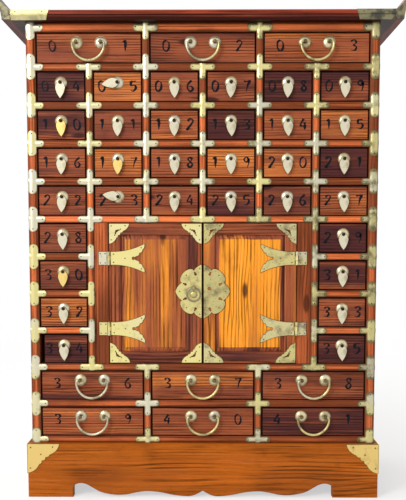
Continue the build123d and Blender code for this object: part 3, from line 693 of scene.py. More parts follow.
def brass_material(name, clean, stained, rough, stain, grey):
    """Worn satin brass, greyer in places, with stains, and darker by tone, which carries tarnish and in
    places painted shade.
    """
    shader, start = new_material(name)
    log, tone = start.attribute("wood", "Vector"), start.attribute("tone", "Fac")
    cloud = log.noise(46.0, 4.0, 0.6)
    spots = log.noise(420.0, 3.0, 0.6)
    brush = log.grain(60.0, 1300.0, 2.0)
    # Darkening from stains and spots, and from low tone, which in places is painted shade
    tarnish_and_shade = cloud.step(0.44, 0.68) * stain + spots.step(0.58, 0.72) * 0.40 + (0.5 - tone) * 1.1
    tarnish_and_shade = log.node("ShaderNodeClamp", Value=tarnish_and_shade, Min=0.0, Max=1.0)
    light = sum(share * c for share, c in zip(LIGHTNESS, clean))
    pale = [c + grey * (light - c) for c in clean]
    bare = log.noise(6.0, 1.0).step(0.44, 0.62).blend(rgba(clean), rgba(pale))
    height = cloud * 0.8 + spots * 0.4 + brush * 0.25
    start.plug(shader, Base_Color=tarnish_and_shade.blend(bare, rgba(stained)), Metallic=1.0,
               Roughness=rough + tarnish_and_shade * 0.28 + brush * 0.08, Normal=height.bump(0.20, 0.0008))


def ink_material(name):
    """Dry black ink with thin places."""
    shader, start = new_material(name)
    dry = start.attribute("wood", "Vector").grain(300.0, 900.0, 3.0).step(0.55, 0.8)
    shade = (dry * 0.6).blend(rgba((0.004, 0.005, 0.009)), rgba((0.035, 0.020, 0.018)))
    start.plug(shader, Base_Color=shade, Roughness=dry * 0.25 + 0.48, Specular_IOR_Level=0.1)


# Clean and stained colour of each brass, its roughness, the strength of its stains and its share of grey

BRASSES = {
    "brass": ((0.75, 0.66, 0.29), (0.19, 0.16, 0.08), 0.30, 0.64, 0.55),
    "brass_pale": ((0.74, 0.66, 0.43), (0.28, 0.21, 0.10), 0.26, 0.6, 0.45),
    "brass_door": ((0.82, 0.72, 0.29), (0.22, 0.18, 0.10), 0.30, 0.5, 0.2),
    "brass_yellow": ((0.80, 0.58, 0.20), (0.34, 0.23, 0.07), 0.36, 0.5, 0.0),
    "brass_cap": ((0.62, 0.55, 0.28), (0.10, 0.095, 0.075), 0.36, 0.5, 0.0),
    "brass_dark": ((0.30, 0.26, 0.19), (0.10, 0.08, 0.05), 0.25, 0.5, 0.0),
    # Nails; also the dark rims of the flat plates and leaves, as tarnish and painted shade of the gap under
    # their edges
    "nail_brass": ((0.20, 0.15, 0.07), (0.05, 0.035, 0.02), 0.42, 0.5, 0.0),
}


def woods():
    """Dark, middle and light colour of each wood, strength of streaks, roughness and fineness of grain."""
    w = wood()
    return {
        "drawer_wood": (w.dark, w.middle, w.bright, 1.6, 0.42, 1.7),
        "door_wood": (w.dark, w.middle, w.panel, 1.45, 0.34, 1.2),
        "frame_wood": (scaled(w.frame, 0.32), w.frame, scaled(w.frame, 1.45), 1.1, 0.34, 1.5),
        "top_wood": (scaled(w.top, 0.2), w.top, scaled(w.top, 3.6), 1.3, 0.30, 1.0),
        "base_wood": (scaled(w.base, 0.30), w.base, scaled(w.base, 1.3), 1.0, 0.42, 1.0),
        "case_wood": (scaled(w.case, 0.5), w.case, scaled(w.case, 1.4), 0.9, 0.42, 1.0),
        # Near-black wood on the drawers' chamfered edges: painted shade of the gaps round the drawers, with
        # grime
        "grime": ((0.010, 0.004, 0.003), (0.022, 0.008, 0.005), (0.05, 0.02, 0.01), 1.0, 0.42, 1.0),
    }


def material(name):
    """A material by name, made when first asked for."""
    full = "chest_" + name
    if full not in bpy.data.materials:
        if name == "ink":
            ink_material(full)
        elif name in BRASSES:
            brass_material(full, *BRASSES[name])
        else:
            wood_material(full, *woods()[name])
    return bpy.data.materials[full]


# Wood of the case

SIDE_RAIL = 0.032
SIDE_PLANKS = 2
SIDE_SETBACK = 0.004
BACK_BOARD = 0.008
BACK_PLANKS = 4
BACK_SETBACK = 0.012
SHELF = 0.006
HALF_PARTITION = 0.0045
INSIDE_TONE = 0.4
FRAME_TONES = (0.12, 0.8)
# How much painted shade darkens the round fronts of posts, stiles and rails towards their edges
FRAME_EDGE_SHADE = 1.1


def planks(low, high, count):
    """Ends of some planks of equal width."""
    cuts = [low + (high - low) * i / count for i in range(count + 1)]
    return list(zip(cuts, cuts[1:]))


def case_shape():
    """Back posts, sides, back boards, shelves and partitions."""
    g = grid()
    shape = Shape(wood().seed)
    inside, outside, top = half_inside(), half_case(), case_top()
    front, back = g.front + g.bar_depth, g.back - BACK_SETBACK
    near_post, far_post = g.front + g.post_depth, g.back - g.post_depth
    low, high = g.base + SIDE_RAIL, top - SIDE_RAIL

    def wall(x, floor, ceiling, grain):
        """Partition about a place along X."""
        shape.board((x - HALF_PARTITION, front, floor), (x + HALF_PARTITION, back, ceiling),
                    grain=grain, tone=INSIDE_TONE)

    for side in (-1, 1):
        shape.board((side * inside, far_post, g.base), (side * outside, g.back, top), grain="Z")
        for a, b in ((g.base, low), (high, top)):
            shape.board((side * inside, near_post, a), (side * outside, far_post, b), grain="Y")
        for a, b in planks(near_post, far_post, SIDE_PLANKS):
            tone = 0.5 + shape.chance.uniform(-0.15, 0.15)
            face = side * (outside - SIDE_SETBACK)
            shape.board((side * inside, a, low), (face, b, high), grain="Z", tone=tone)
    for a, b in planks(-inside, inside, BACK_PLANKS):
        tone = 0.45 + shape.chance.uniform(-0.2, 0.2)
        shape.board((a, back, g.base), (b, back + BACK_BOARD, top), grain="Z", tone=tone)
    half = half_cupboard() + g.bar / 2
    for row in range(1, ROWS + 1):
        floor = row_floor(row)
        for a, b in stretches(row, half + HALF_PARTITION):
            shape.board((a, front, floor - SHELF), (b, back, floor), grain="X", tone=INSIDE_TONE)
        if row in CUPBOARD_ROWS:
            continue
        ceiling = top if row == 1 else row_floor(row - 1) - SHELF
        for x in map(stile_x, stiles_in(row)):
            wall(x, floor, ceiling, "Y")
    for x in (-half, half):
        wall(x, row_floor(CUPBOARD_ROWS[-1]), row_floor(CUPBOARD_ROWS[0] - 1) - SHELF, "Z")
    return shape


def frame_shape():
    """Posts, rails, stiles and jambs with round fronts."""
    g = grid()
    shape = Shape(wood().seed + 1)

    def tone(axis, middle, width):
        """Tone by chance, with painted shade darkening it towards the edges of a round face."""
        own = shape.chance.uniform(*FRAME_TONES)
        return lambda p: own - FRAME_EDGE_SHADE * abs(2 * ((p[axis] - middle) / width)) ** 3

    def upright(x, width, swell, depth, low, high):
        """Post or stile about a place along X."""
        section = [(x + u, y) for u, y in crowned(width, swell, depth)]
        shape.prism(section, "Z", low, high, grain="Z", tone=tone(0, x, width))

    def level(a, b, z, height):
        """Rail about a height."""
        section = [(y, z + v) for v, y in crowned(height, g.rail_crown, g.bar_depth)]
        shape.prism(section, "X", a, b, grain="X", tone=tone(2, z, height))

    half = half_cupboard()
    for side in (-1, 1):
        upright(side * (half_case() - g.post / 2), g.post, g.post_crown, g.post_depth, g.base, case_top())
    for row in range(ROWS + 1):
        for a, b in stretches(row, half + g.bar):
            level(a, b, rail_z(row), g.bar if row else g.top_rail)
    for row in range(1, ROWS + 1):
        low, high = row_floor(row), row_floor(row) + g.cell_height
        if row not in CUPBOARD_ROWS:
            for x in map(stile_x, stiles_in(row)):
                upright(x, g.bar, g.stile_crown, g.bar_depth, low, high)
    low, high = row_floor(CUPBOARD_ROWS[-1]), row_floor(CUPBOARD_ROWS[0]) + g.cell_height
    for side in (-1, 1):
        upright(side * (half + g.bar / 2), g.bar, g.stile_crown, g.bar_depth, low, high)
        shape.board((side * half, g.front, low), (side * (half - g.jamb), g.front + g.bar_depth, high),
                    grain="Z", tone=0.12 + side * 0.06)
    return shape


BASE_BOARD = 0.016
FOOT = 0.084
SIDE_FOOT = 0.07
SIDE_ARCH = 0.026
APRON_RISE = 0.025
APRON_EASE = 0.0012

# Right half of the apron's lower edge, from the middle point to the foot, in shares of its width and rise

APRON = (
    (0, 0.5), (0.035, 0.3), (0.07, 0.15), (0.12, 0.08), (0.22, 0.17), (0.33, 0.38), (0.43, 0.46),
    (0.51, 0.36), (0.59, 0.2), (0.68, 0.18), (0.78, 0.36), (0.84, 0.66), (0.894, 0.96), (0.943, 1.06),
    (0.985, 0.94), (1, 0.66),
)


def base_shape():
    """Scalloped apron with feet, two arched sides and a back board."""
    top = grid().base
    shape = Shape(wood().seed + 2)
    low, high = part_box("base_plinth")
    half = high.x
    foot = half - FOOT
    right = curve([(foot * u, APRON_RISE * v) for u, v in APRON], 4)
    ends = [(foot, 0), (half, 0), (half, top)]
    outline = mirrored(right)[:-1] + right + ends + mirrored(ends)
    start = low.y + BASE_BOARD
    shape.sheet(outline, [], low.y, start, APRON_EASE, grain="X", tone=0.62)
    middle, reach = (start + high.y) / 2, (high.y - start) / 2 - SIDE_FOOT
    arch = arc((middle + reach, 0), (middle, SIDE_ARCH), (middle - reach, 0), 16)
    flank = [(start, 0), (start, top), (high.y, top), (high.y, 0)] + arch
    for side in (-1, 1):
        span = sorted((side * half, side * (half - BASE_BOARD)))
        shape.prism(flank, "X", *span, ease=wood().ease, grain="Y", tone=0.4)
    inner = half - BASE_BOARD
    shape.board((-inner, high.y - BASE_BOARD, SIDE_ARCH), (inner, high.y, top), grain="X", tone=0.2)
    return shape


TOP_THICKNESS = 0.017
TOP_OVERHANG = 0.037
TOP_ROOT = 0.015
UPTURN_RISE = 0.027
UPTURN_LEAN = 0.013
UPTURN_TIP = 0.007
UPTURN_HOLLOW = 0.0045
BACK_EASE = 0.001

# Front edge of the top board from its foot up: setback, height and tone; the tone is painted shade and light,
# dark at the foot and in the groove and lighter on the faces between

MOULDING = (
    (0.004, 0.0, -0.45), (0.0006, 0.0072, 0.72), (0.0014, 0.0080, 0.0), (0.0014, 0.0088, 0.0),
    (0.0, 0.0096, 0.72), (0.0, TOP_THICKNESS - 0.0012, 0.72), (0.0012, TOP_THICKNESS, 0.5),
)


def top_end():
    """Half the width of the top at its foot."""
    return half_case() + TOP_OVERHANG


def upturn_outline():
    """Right end of the top: rises from the board and leans outward to a rounded tip."""
    end, tip = top_end(), UPTURN_TIP
    root = end - TOP_ROOT
    x, z = end + UPTURN_LEAN, TOP_THICKNESS + UPTURN_RISE
    inner, outer, crest = (x - tip, z - tip * 0.3), (x, z - tip * 0.7), (x - tip * 0.35, z)
    hollow = (end - UPTURN_HOLLOW, TOP_THICKNESS + UPTURN_RISE * 0.3)
    loop = [(root, 0)] + arc((end, 0), (end + UPTURN_LEAN * 0.3, z * 0.45), outer, 12, False)
    loop += arc(outer, crest, inner, 8, False) + arc(inner, hollow, (root, TOP_THICKNESS), 14)
    return [(u, case_top() + v) for u, v in loop]


def top_shape():
    """Board with a moulded front edge and two upturned ends."""
    shape = Shape(wood().seed + 3)
    low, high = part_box("top_board")
    base, back = case_top(), high.y
    top = base + TOP_THICKNESS
    section = [(low.y + setback, base + rise) for setback, rise, _ in MOULDING]
    inner = back - BACK_EASE
    section += [(inner, top), (back, top - BACK_EASE), (back, base + BACK_EASE), (inner, base)]

    def moulding_shade(p):
        """Painted shade and light of the moulding at the front, and a middling tone at the back."""
        if p[1] > 0:
            return 0.5
        return min(MOULDING, key=lambda spot: abs(base + spot[1] - p[2]))[2]

    root = top_end() - TOP_ROOT
    shape.prism(section, "X", -root, root, grain="X", tone=moulding_shade)
    for side in (-1, 1):
        loop = [(side * u, v) for u, v in upturn_outline()]
        shape.prism(loop, "Y", low.y, back, ease=wood().ease, grain="Y", tone=0.4)
    return shape


# Brass of the case

ARMS = {"N": (0, 1), "S": (0, -1), "E": (1, 0), "W": (-1, 0)}
PLATE_STEPS = 6
ARM_STEPS = 3
ARM_NAIL = 0.0052
# Width of the painted shade along a joint plate's outline
PLATE_SHADE_EDGE = 0.0025


def joint_plate(arms, width, swell, height):
    """Sheet bent over a crossing, with one round-ended arm in each direction named, and its nails."""
    b = brass()
    halves = width / 2 - b.inset, height / 2 - b.inset
    spots = {}
    quads = []

    def face(x, z):
        """Place along Y of the round wood, from its shoulders."""
        swells = []
        if abs(x) <= halves[0] + TINY:
            swells.append(crown(x, width, swell))
        if abs(z) <= halves[1] + TINY:
            swells.append(crown(z, height, grid().rail_crown))
        return -max(swells)

    def patch(rows):
        """Quads between rows of points; a point that is there already is shared."""
        rows = [[spots.setdefault((round(x, 7), round(z, 7)), len(spots)) for x, z in row] for row in rows]
        for one, two in zip(rows, rows[1:]):
            quads.extend([one[j], one[j + 1], two[j + 1], two[j]] for j in range(len(one) - 1))

    turns = [math.sin(math.pi / 2 * i / PLATE_STEPS) for i in range(-PLATE_STEPS, PLATE_STEPS + 1)]
    patch([[(halves[0] * u, halves[1] * v) for u in turns] for v in turns])
    for arm, (sign_x, sign_z) in ARMS.items():
        if arm not in arms:
            continue
        half, start = halves if sign_z else halves[::-1]
        lines = []
        for i in range(ARM_STEPS + 1):
            line = []
            for across in [half * u for u in turns]:
                end = b.arm - half + math.sqrt(max(0, half * half - across * across))
                along = (sign_x + sign_z) * (start + (end - start) * i / ARM_STEPS)
                line.append((across, along) if sign_z else (along, across))
            lines.append(line)
        patch(lines)
    flat = list(spots)
    count = len(flat)
    sides = Counter(frozenset(side) for quad in quads for side in zip(quad, quad[1:] + quad[:1]))
    border = [tuple(side) for side, used in sides.items() if used == 1]
    edge = [(flat[a], flat[c]) for a, c in border]
    points = [(x, face(x, z) - b.bed - b.sheet, z) for x, z in flat]
    points += [(x, face(x, z) - b.bed, z) for x, z in flat]
    faces = quads + [[i + count for i in reversed(quad)] for quad in quads]
    faces += [[a, c, c + count, a + count] for a, c in border]
    shape = Shape(len(arms))
    # The sheet darkens towards its outline: painted shade of the gap under its edge
    shape.add(points, faces, tone=lambda p: -0.4 + 0.95 * min(1, near(p[0], p[2], edge) / PLATE_SHADE_EDGE))
    for arm, signs in ARMS.items():
        if arm in arms:
            x, z = [sign * (b.arm - ARM_NAIL) for sign in signs]
            shape.nail(x, face(x, z) - b.bed - b.sheet, z)
    return shape


def has_stile(boundary, row):
    """Whether a stile or post stands at a boundary in a row."""
    return 1 <= row <= ROWS and (boundary in (0, COLUMNS) or boundary in stiles_in(row))


def has_rail(level, column):
    """Whether a rail runs at a level across a column."""
    return 1 <= column <= COLUMNS and (level not in CUPBOARD_ROWS[:-1] or column in (1, COLUMNS))


def arms_at(level, boundary):
    """Directions in which a stile or rail leaves a crossing."""
    there = {
        "N": has_stile(boundary, level),
        "S": has_stile(boundary, level + 1),
        "W": has_rail(level, boundary),
        "E": has_rail(level, boundary + 1),
    }
    return "".join(arm for arm in there if there[arm])


def plates_shape():
    """One plate on every joint of the front frame, darker to the right as painted shade of the light from the
    left, and tarnished by chance.
    """
    g = grid()
    made = {}
    shape = Shape(wood().seed + 4)
    for level in range(ROWS + 1):
        for boundary in range(COLUMNS + 1):
            arms = arms_at(level, boundary)
            if len(arms) < 2 or arms in ("WE", "NS"):
                continue
            post = boundary in (0, COLUMNS)
            width, swell = (g.post, g.post_crown) if post else (g.bar, g.stile_crown)
            key = arms, width, swell, g.bar if level else g.top_rail
            if key not in made:
                made[key] = joint_plate(*key)
            place = Vector((stile_x(boundary), g.front, rail_z(level)))
            # Tone shift: painted shade that grows to the right, where less light falls, and tarnish by chance
            worn = 0.04 - 1.3 * place.x + shape.chance.uniform(-0.16, 0.16)
            shape.moved(made[key], Matrix.Translation(place), worn, [p * 3 for p in place])
    return shape


CAP_REACH = 0.084
CAP_SLANT = 0.006
CAP_NAILS = (0.0125, 0.060)
CAP_NAIL_RISE = 0.0132

# Cap on the front edge of the top board, from the top down: setback and height

CAP_BAND = ((0, TOP_THICKNESS), (0, 0.0098), (0.0012, 0.0088), (0.0012, 0.0080), (0.0004, 0.0072), (0.004, 0))


def caps_shape():
    """Sheets over the front of the top's ends, bent along the board's edge."""
    b = brass()
    shape = Shape(wood().seed + 5)
    base, inner, root = case_top(), top_end() - CAP_REACH, top_end() - TOP_ROOT
    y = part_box("top_board")[0].y - b.bed
    band = [(y + setback, rise) for setback, rise in CAP_BAND]
    band += [(place - b.sheet, rise) for place, rise in band[::-1]]

    def ring(side, high, low):
        """The band's section, with its top edge at one place and its foot at another."""
        across = [high + (low - high) * (1 - rise / TOP_THICKNESS) for _, rise in band]
        return [(side * x, place, base + rise) for x, (place, rise) in zip(across, band)]

    # Painted shade: the right cap's band is darker than the left's, where less light falls
    for side, tone in ((-1, 0.5), (1, -0.1)):
        shape.loft([ring(side, inner, inner + CAP_SLANT), ring(side, root, root)], tone=tone)
        outline = [(side * u, v) for u, v in upturn_outline()]
        shape.sheet(outline, [], y - b.sheet, y, b.ease, tone=-0.1)
        for x in CAP_NAILS:
            shape.nail(side * (inner + x), y - b.sheet, base + CAP_NAIL_RISE)
    return shape


CORNER_SCALLOPS = ((1, 0), (0.92, 0.21), (0.70, 0.375), (0.655, 0.44), (0.575, 0.455))
CORNER_MIDDLE = (0.545, 0.545)
BASE_CORNER = (0.061, 0.056)
BASE_NAIL = 0.0015
BASE_NAILS = ((0.007, -0.007), (0.048, -0.006), (0.006, -0.046), (0.026, -0.02))


def corner_loop(width, height):
    """Right-angled plate, down and to the right of its corner, with five scallops along its long side."""
    knots = [*CORNER_SCALLOPS, CORNER_MIDDLE, *((v, u) for u, v in CORNER_SCALLOPS[::-1])]
    return arcs((0, 0), None, *((width * u, -height * v) for u, v in knots), None)


def base_corners_shape():
    """Shaped plates over the base's front corners, on the front and round the side."""
    b, top = brass(), grid().base
    shape = Shape(wood().seed + 6)
    low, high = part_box("base_plinth")
    loop = corner_loop(*BASE_CORNER)
    out = high.x + b.bed + b.sheet
    back = low.y - b.bed
    face = back - b.sheet
    for side in (-1, 1):
        front = [(side * (out - u), top + v) for u, v in loop]
        # Painted shade: the right corner plate is darker than the left, where less light falls
        shape.sheet(front, [], face, back, b.rim, rim=1, tone=0.75 - side * 0.15)
        for u, v in BASE_NAILS:
            shape.nail(side * (out - u), face, top + v, BASE_NAIL)
        flank = [(face + u, top + v) for u, v in loop]
        shape.prism(flank, "X", *sorted((side * out, side * (out - b.sheet))))
        aim = Matrix.Rotation(side * math.pi / 2, 4, "Z")
        for u, v in BASE_NAILS[1:]:
            head = Shape(1).nail(0, 0, 0, BASE_NAIL)
            shape.moved(head, Matrix.Translation((side * out, face + u, top + v)) @ aim)
    return shape


# Doors

HINGE_HALF = 0.0125
HINGE_THIRD = HINGE_HALF * 2 / 3
HINGE_INSET = 0.064
HINGE_STANDOFF = 0.003
HINGE_PIN = 0.0014
KNUCKLE = 0.0026
KNUCKLE_GAP = 0.0002
KNUCKLE_EASE = 0.0003
TAB = (0.001, 0.0033)
TAB_GAP = 0.0003
TAB_EASE = 0.0001
LEAF_START = 0.0031
JAMB_LEAF = 0.019
JAMB_NAILS = (0.0065, 0.0155)
JAMB_NAIL_RISE = 0.0085

Door = namedtuple("Door", "inner outer low high line levels")


def door():
    """Edges and ends of the right door, its hinge line and the heights of its hinges."""
    low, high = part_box("right_door")
    line = (high.x + half_cupboard() - grid().jamb) / 2
    return Door(low.x, high.x, low.z, high.z, line, (low.z + HINGE_INSET, high.z - HINGE_INSET))


def sheet_places():
    """Places along Y of the front and the back of the sheet on the doors and jambs."""
    back = grid().front - brass().bed
    return back - brass().sheet, back


def knuckle(shape, side, level, part, way):
    """One of the three barrels round a hinge's pin, with its tab.

    The part is -1, 0 or 1 from the bottom up, and the tab goes outward for a way of 1, inward for -1.
    """
    line = door().line
    middle, half = level + part * HINGE_THIRD, HINGE_THIRD / 2 - KNUCKLE_GAP
    r, e = KNUCKLE, KNUCKLE_EASE
    profile = [(r - e, middle - half), (r, middle - half + e), (r, middle + half - e), (r - e, middle + half)]
    shape.lathe(profile, (side * line, grid().front - HINGE_STANDOFF, 0), "Z", 20)
    face, back = sheet_places()
    near_end, far_end = [side * (line + way * reach) for reach in TAB]
    low, high = middle - HINGE_THIRD / 2 + TAB_GAP, middle + HINGE_THIRD / 2 - TAB_GAP
    shape.board((near_end, face, low), (far_end, back, high), TAB_EASE)


def jamb_hinges_shape():
    """Fixed leaves of the four hinges with their barrels, pins and nails."""
    shape = Shape(wood().seed + 7)
    d = door()
    face, back = sheet_places()
    for side in (-1, 1):
        left, right = sorted((side * (d.line + LEAF_START), side * (d.line + JAMB_LEAF)))
        for level in d.levels:
            low, high = level - HINGE_HALF, level + HINGE_HALF
            loop = [(left, low), (right, low), (right, high), (left, high)]
            # Painted shade: the right jamb's leaves are darker than the left's, where less light falls
            shape.sheet(loop, [], face, back, brass().rim, rim=1, tone=0.5 - side * 0.25)
            for part in (-1, 1):
                knuckle(shape, side, level, part, 1)
            for z in (level - JAMB_NAIL_RISE, level + JAMB_NAIL_RISE):
                for x in JAMB_NAILS:
                    shape.nail(side * (d.line + x), face, z)
            pin = [(HINGE_PIN, -HINGE_HALF), (HINGE_PIN, HINGE_HALF)]
            shape.lathe(pin, (side * d.line, grid().front - HINGE_STANDOFF, level), "Z", 12)
    return shape


DOOR_FRAME = 0.021
DOOR_THICKNESS = 0.016
PANEL_BACK = 0.002
PANEL_SINK = 0.004
PANEL_GROOVE = 0.0018
FIELD_SINK = 0.0004
FIELD_EASE = (0.0012, 0.0004)
BEVEL = 0.009


def door_wood_shape(side):
    """Mitred frame round a fielded panel."""
    front = grid().front
    d = door()
    shape = Shape(wood().seed + 8 + side)
    a, b, c, e = d.inner + DOOR_FRAME, d.outer - DOOR_FRAME, d.low + DOOR_FRAME, d.high - DOOR_FRAME
    stiles = [((x, d.low), (u, c), (u, e), (x, d.high)) for x, u in ((d.inner, a), (d.outer, b))]
    rails = [((d.inner, z), (a, v), (b, v), (d.outer, z)) for z, v in ((d.low, c), (d.high, e))]
    for grain, loops, tone in (("Z", stiles, 0.54 + side * 0.08), ("X", rails, 0.24 + side * 0.1)):
        for loop in loops:
            loop = [(side * u, v) for u, v in loop]
            shape.sheet(loop, [], front, front + DOOR_THICKNESS, wood().ease, grain=grain, tone=tone)

    def ring(step, y):
        """Outline of the panel, a step inward from the frame."""
        loop = ((a + step, c + step), (b - step, c + step), (b - step, e - step), (a + step, e - step))
        return [(side * u, y, v) for u, v in loop]

    def shade(p):
        """Dark on the bevel as painted shade of its recess, light on the field."""
        x = side * p[0]
        if min(x - a, b - x, p[2] - c, e - p[2]) < BEVEL - 0.0001:
            return 0.34
        return 1.0 if side > 0 else 0.52

    sunk, field = front + PANEL_SINK, front + FIELD_SINK
    rings = [
        ring(0, front + DOOR_THICKNESS - PANEL_BACK), ring(0, sunk), ring(PANEL_GROOVE, sunk),
        ring(BEVEL - FIELD_EASE[0], field + FIELD_EASE[1]), ring(BEVEL, field),
    ]
    shape.loft(rings, grain="Z", tone=shade)
    return shape


def turned(loop, x, z, size, by):
    """The loop at another size, turned and set at a place."""
    c, s = math.cos(by), math.sin(by)
    return [(x + size * (u * c - v * s), z + size * (u * s + v * c)) for u, v in loop]


def keyhole(x, z, size, by):
    """Small piercing: a round eye over a slit."""
    loop = arc((0.35, -0.2), (0, 0.95), (-0.35, -0.2), 10) + [(-0.22, -1.25), (0.22, -1.25)]
    return turned(loop, x, z, size, by)


def bat(x, z, size, by):
    """Small piercing: a round eye between two slits that curl up."""
    right = [(0.48, 0.30), (1.1, 0.42), (1.75, 0.95), (2.0, 0.75), (1.3, -0.05), (0.50, -0.28)]
    left = mirrored(right)
    under, over = arc(right[-1], (0, -0.75), left[0], 8), arc(left[-1], (0, 0.62), right[0], 8)
    return turned(right + under[1:] + left[1:] + over[1:-1], x, z, size, by)


STRAP_TAIL = -0.066
STRAP_SPREAD = 0.027
STRAP_NOTCH = (-0.0432, 0)

# Upper half of a strap's notched tail as points and middles of arcs, from its tip to the notch

STRAP_TIP = (
    (STRAP_TAIL, STRAP_SPREAD), (STRAP_TAIL - 0.0004, 0.021), (-0.0628, 0.0155), (-0.0612, 0.0112),
    (-0.0570, 0.0095), (-0.0556, 0.0054), (-0.0515, 0.0036), None, (-0.0478, 0.0013),
)


def strap_loop():
    """Door leaf of a right-hand hinge, about its pin: narrow at the barrel, flaring to a notched tail."""
    half = HINGE_HALF
    x, z = STRAP_TAIL * 0.6, half + (STRAP_SPREAD - half) * 0.28
    lower = [spot and (spot[0], -spot[1]) for spot in STRAP_TIP[::-1]]
    end = -LEAF_START
    return arcs((end, -half), None, (end, half), (x, z), *STRAP_TIP, STRAP_NOTCH, *lower, (x, -z))


LOCK_RADIUS = 0.0425
LOCK_ROUND = 0.0075
LOCK_POINT = 0.0085
LOCK_RAISE = 0.004
LOCK_STEPS = 120
LOCK_PIERCINGS = (0.125, 0.375, 0.625, 0.875)
LOCK_PIERCING_RADIUS = 0.0352
LOCK_PIERCING_SIZE = 0.0028
LOCK_NAILS = (0.04, 0.25, 0.5, 0.75, 0.96)
LOCK_HOLE = (0.012, 0.0055, 0.0023)
SEAM_GAP = 0.0002
SEAM_SQUARE = 0.001


def around(radius, share):
    """Place on a circle, at a share of the half turn from its top to its foot."""
    return radius * math.sin(math.pi * share), radius * math.cos(math.pi * share)


def lock_loop():
    """Right half of a plate whose lobes are pointed and round by turns."""
    seam = door().inner
    found = []
    for i in range(LOCK_STEPS + 1):
        t = math.pi * i / LOCK_STEPS
        step = t / (math.pi / 4)
        lobe = round(step)
        off = abs(step - lobe) * 2
        if lobe % 2:
            r = LOCK_RADIUS + LOCK_ROUND * math.sqrt(max(0, 1 - off ** 2.2))
        else:
            r = LOCK_RADIUS + LOCK_POINT * (1 - off) ** 0.8
        x, z = r * math.sin(t), r * math.cos(t)
        if x > seam + SEAM_GAP:
            found.append((x, z))
    return [(seam, found[0][1] + SEAM_SQUARE)] + found + [(seam, found[-1][1] - SEAM_SQUARE)]


DOOR_CORNER = 0.038
DOOR_BAT = (0.0142, -0.0142, 0.0027, -math.pi * 3 / 4)
DOOR_NAILS = ((0.0045, -0.0045), (0.030, -0.0042), (0.0042, -0.030), (0.0215, -0.0105), (0.0105, -0.0215))
STRAP_NAILS = ((-0.009, 0.0075), (-0.009, -0.0075), (-0.060, 0.0195), (-0.060, -0.0195), (-0.030, 0))
RING_WIRE = 0.0015
RING_SEAM = 0.0012
RING_DROP = 0.0055
RING_BOSS = ((0.007, 0.0), (0.007, -0.0006), (0.006, -0.0016), (0.0042, -0.0025), (0.0015, -0.003))
RING_STEM = ((0.003, 0), (0.003, -0.0074), (0.0026, -0.0082), (0.0012, -0.0085))


def door_brass_shape(side):
    """Corner plates, strap hinges and half a lock plate, pierced and nailed."""
    b = brass()
    d = door()
    shape = Shape(wood().seed + 20 + side)
    face, back = sheet_places()

    def plate(loop, holes, nails, matrix, worn=0.0):
        """Pierced sheet with its nails, given on the right door and moved by a matrix."""
        def put(points):
            moved = [matrix @ Vector((u, 0, v)) for u, v in points]
            return [(side * p.x, p.z) for p in moved]

        # Painted shade: the right door's brass is darker than the left's, where less light falls; chance and
        # the given shift vary it further
        tone = 0.5 - side * 0.28 + shape.chance.uniform(-0.12, 0.12) - worn
        shape.sheet(put(loop), [put(hole) for hole in holes], face, back, b.rim, rim=1, tone=tone)
        for x, z in put(nails):
            shape.nail(x, face, z)

    corner = corner_loop(DOOR_CORNER, DOOR_CORNER)
    for x, flip_x in ((d.inner, 1), (d.outer, -1)):
        for z, flip_z in ((d.high, 1), (d.low, -1)):
            place = Matrix.Translation((x, 0, z)) @ Matrix.Diagonal((flip_x, 1, flip_z, 1))
            plate(corner, [bat(*DOOR_BAT)], DOOR_NAILS, place)
    for level in d.levels:
        plate(strap_loop(), [], STRAP_NAILS, Matrix.Translation((d.line, 0, level)))
        knuckle(shape, side, level, 0, -1)
    lock_z = (d.low + d.high) / 2 + LOCK_RAISE
    holes = []
    for t in LOCK_PIERCINGS:
        x, z = around(LOCK_PIERCING_RADIUS, t)
        holes.append(keyhole(x, z, LOCK_PIERCING_SIZE, math.pi - math.pi * t))
    if side > 0:
        holes.append(circle(*LOCK_HOLE))
    nails = [around(LOCK_RADIUS, t) for t in LOCK_NAILS]
    plate(lock_loop(), holes, nails, Matrix.Translation((0, 0, lock_z)), 0.22 - 0.18 * side)
    if side < 0:
        x, eye_z = -(d.inner + RING_SEAM + RING_WIRE + b.ring), lock_z - RING_DROP + b.ring
        shape.lathe(RING_BOSS, (x, face, eye_z - b.ring), count=32, tone=0.1)
        shape.lathe(RING_STEM, (x, face, eye_z), count=20, tone=-0.1)
    return shape


def ring_shape():
    """Pull ring."""
    low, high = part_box("door_ring")
    middle = (low + high) / 2
    radius = (high.x - low.x) / 2 - RING_WIRE
    path = [(middle.x + radius * math.sin(t), middle.y, middle.z + radius * math.cos(t)) for t in turn(48)]
    return Shape(31).tube(path, [RING_WIRE] * len(path), 14, closed=True)


# Drawers

DRAWER_SETBACK = 0.001
DRAWER_FRONT = 0.012
DRAWER_CHAMFER = 0.0019
BOX_SIDE = 0.006
BOX_FLOOR = 0.005
BOX_DROP = 0.007
BOX_EASE = 0.0006
BAIL_RAISE = 0.0095
PENDANT_RAISE = 0.0065


def place_of(name):
    """Row and column in the name of a drawer or bail."""
    return int(name.split("_row")[1][:2]), int(name.split("_col")[1])


def key_of(name):
    """Short key of a drawer, as in the lists of tones and leaves."""
    row, column = place_of(name)
    return f"r{row:02d}c{column}"


def drawer_face():
    """Place of the drawers' faces along Y."""
    return grid().front + DRAWER_SETBACK


def pull_place(name):
    """Middle of a drawer's pull."""
    row, column = place_of(name)
    wide = name.startswith("wide") or name.startswith("bail")
    left = column_left(2 * column - 1) if wide else column_left(column)
    width = 2 * grid().cell_width + grid().bar if wide else grid().cell_width
    return left + width / 2, row_floor(row) + grid().cell_height / 2 + (BAIL_RAISE if wide else PENDANT_RAISE)


def tone_of(name):
    """Tone of a drawer's front, with a little chance."""
    row, column = place_of(name)
    chance = random.Random(row * 17 + column * 5 + wood().seed)
    listed = [tone for tone, keys in DRAWER_TONES.items() if key_of(name) in keys]
    return (listed or [MIDDLING])[0] + chance.uniform(-0.07, 0.07)


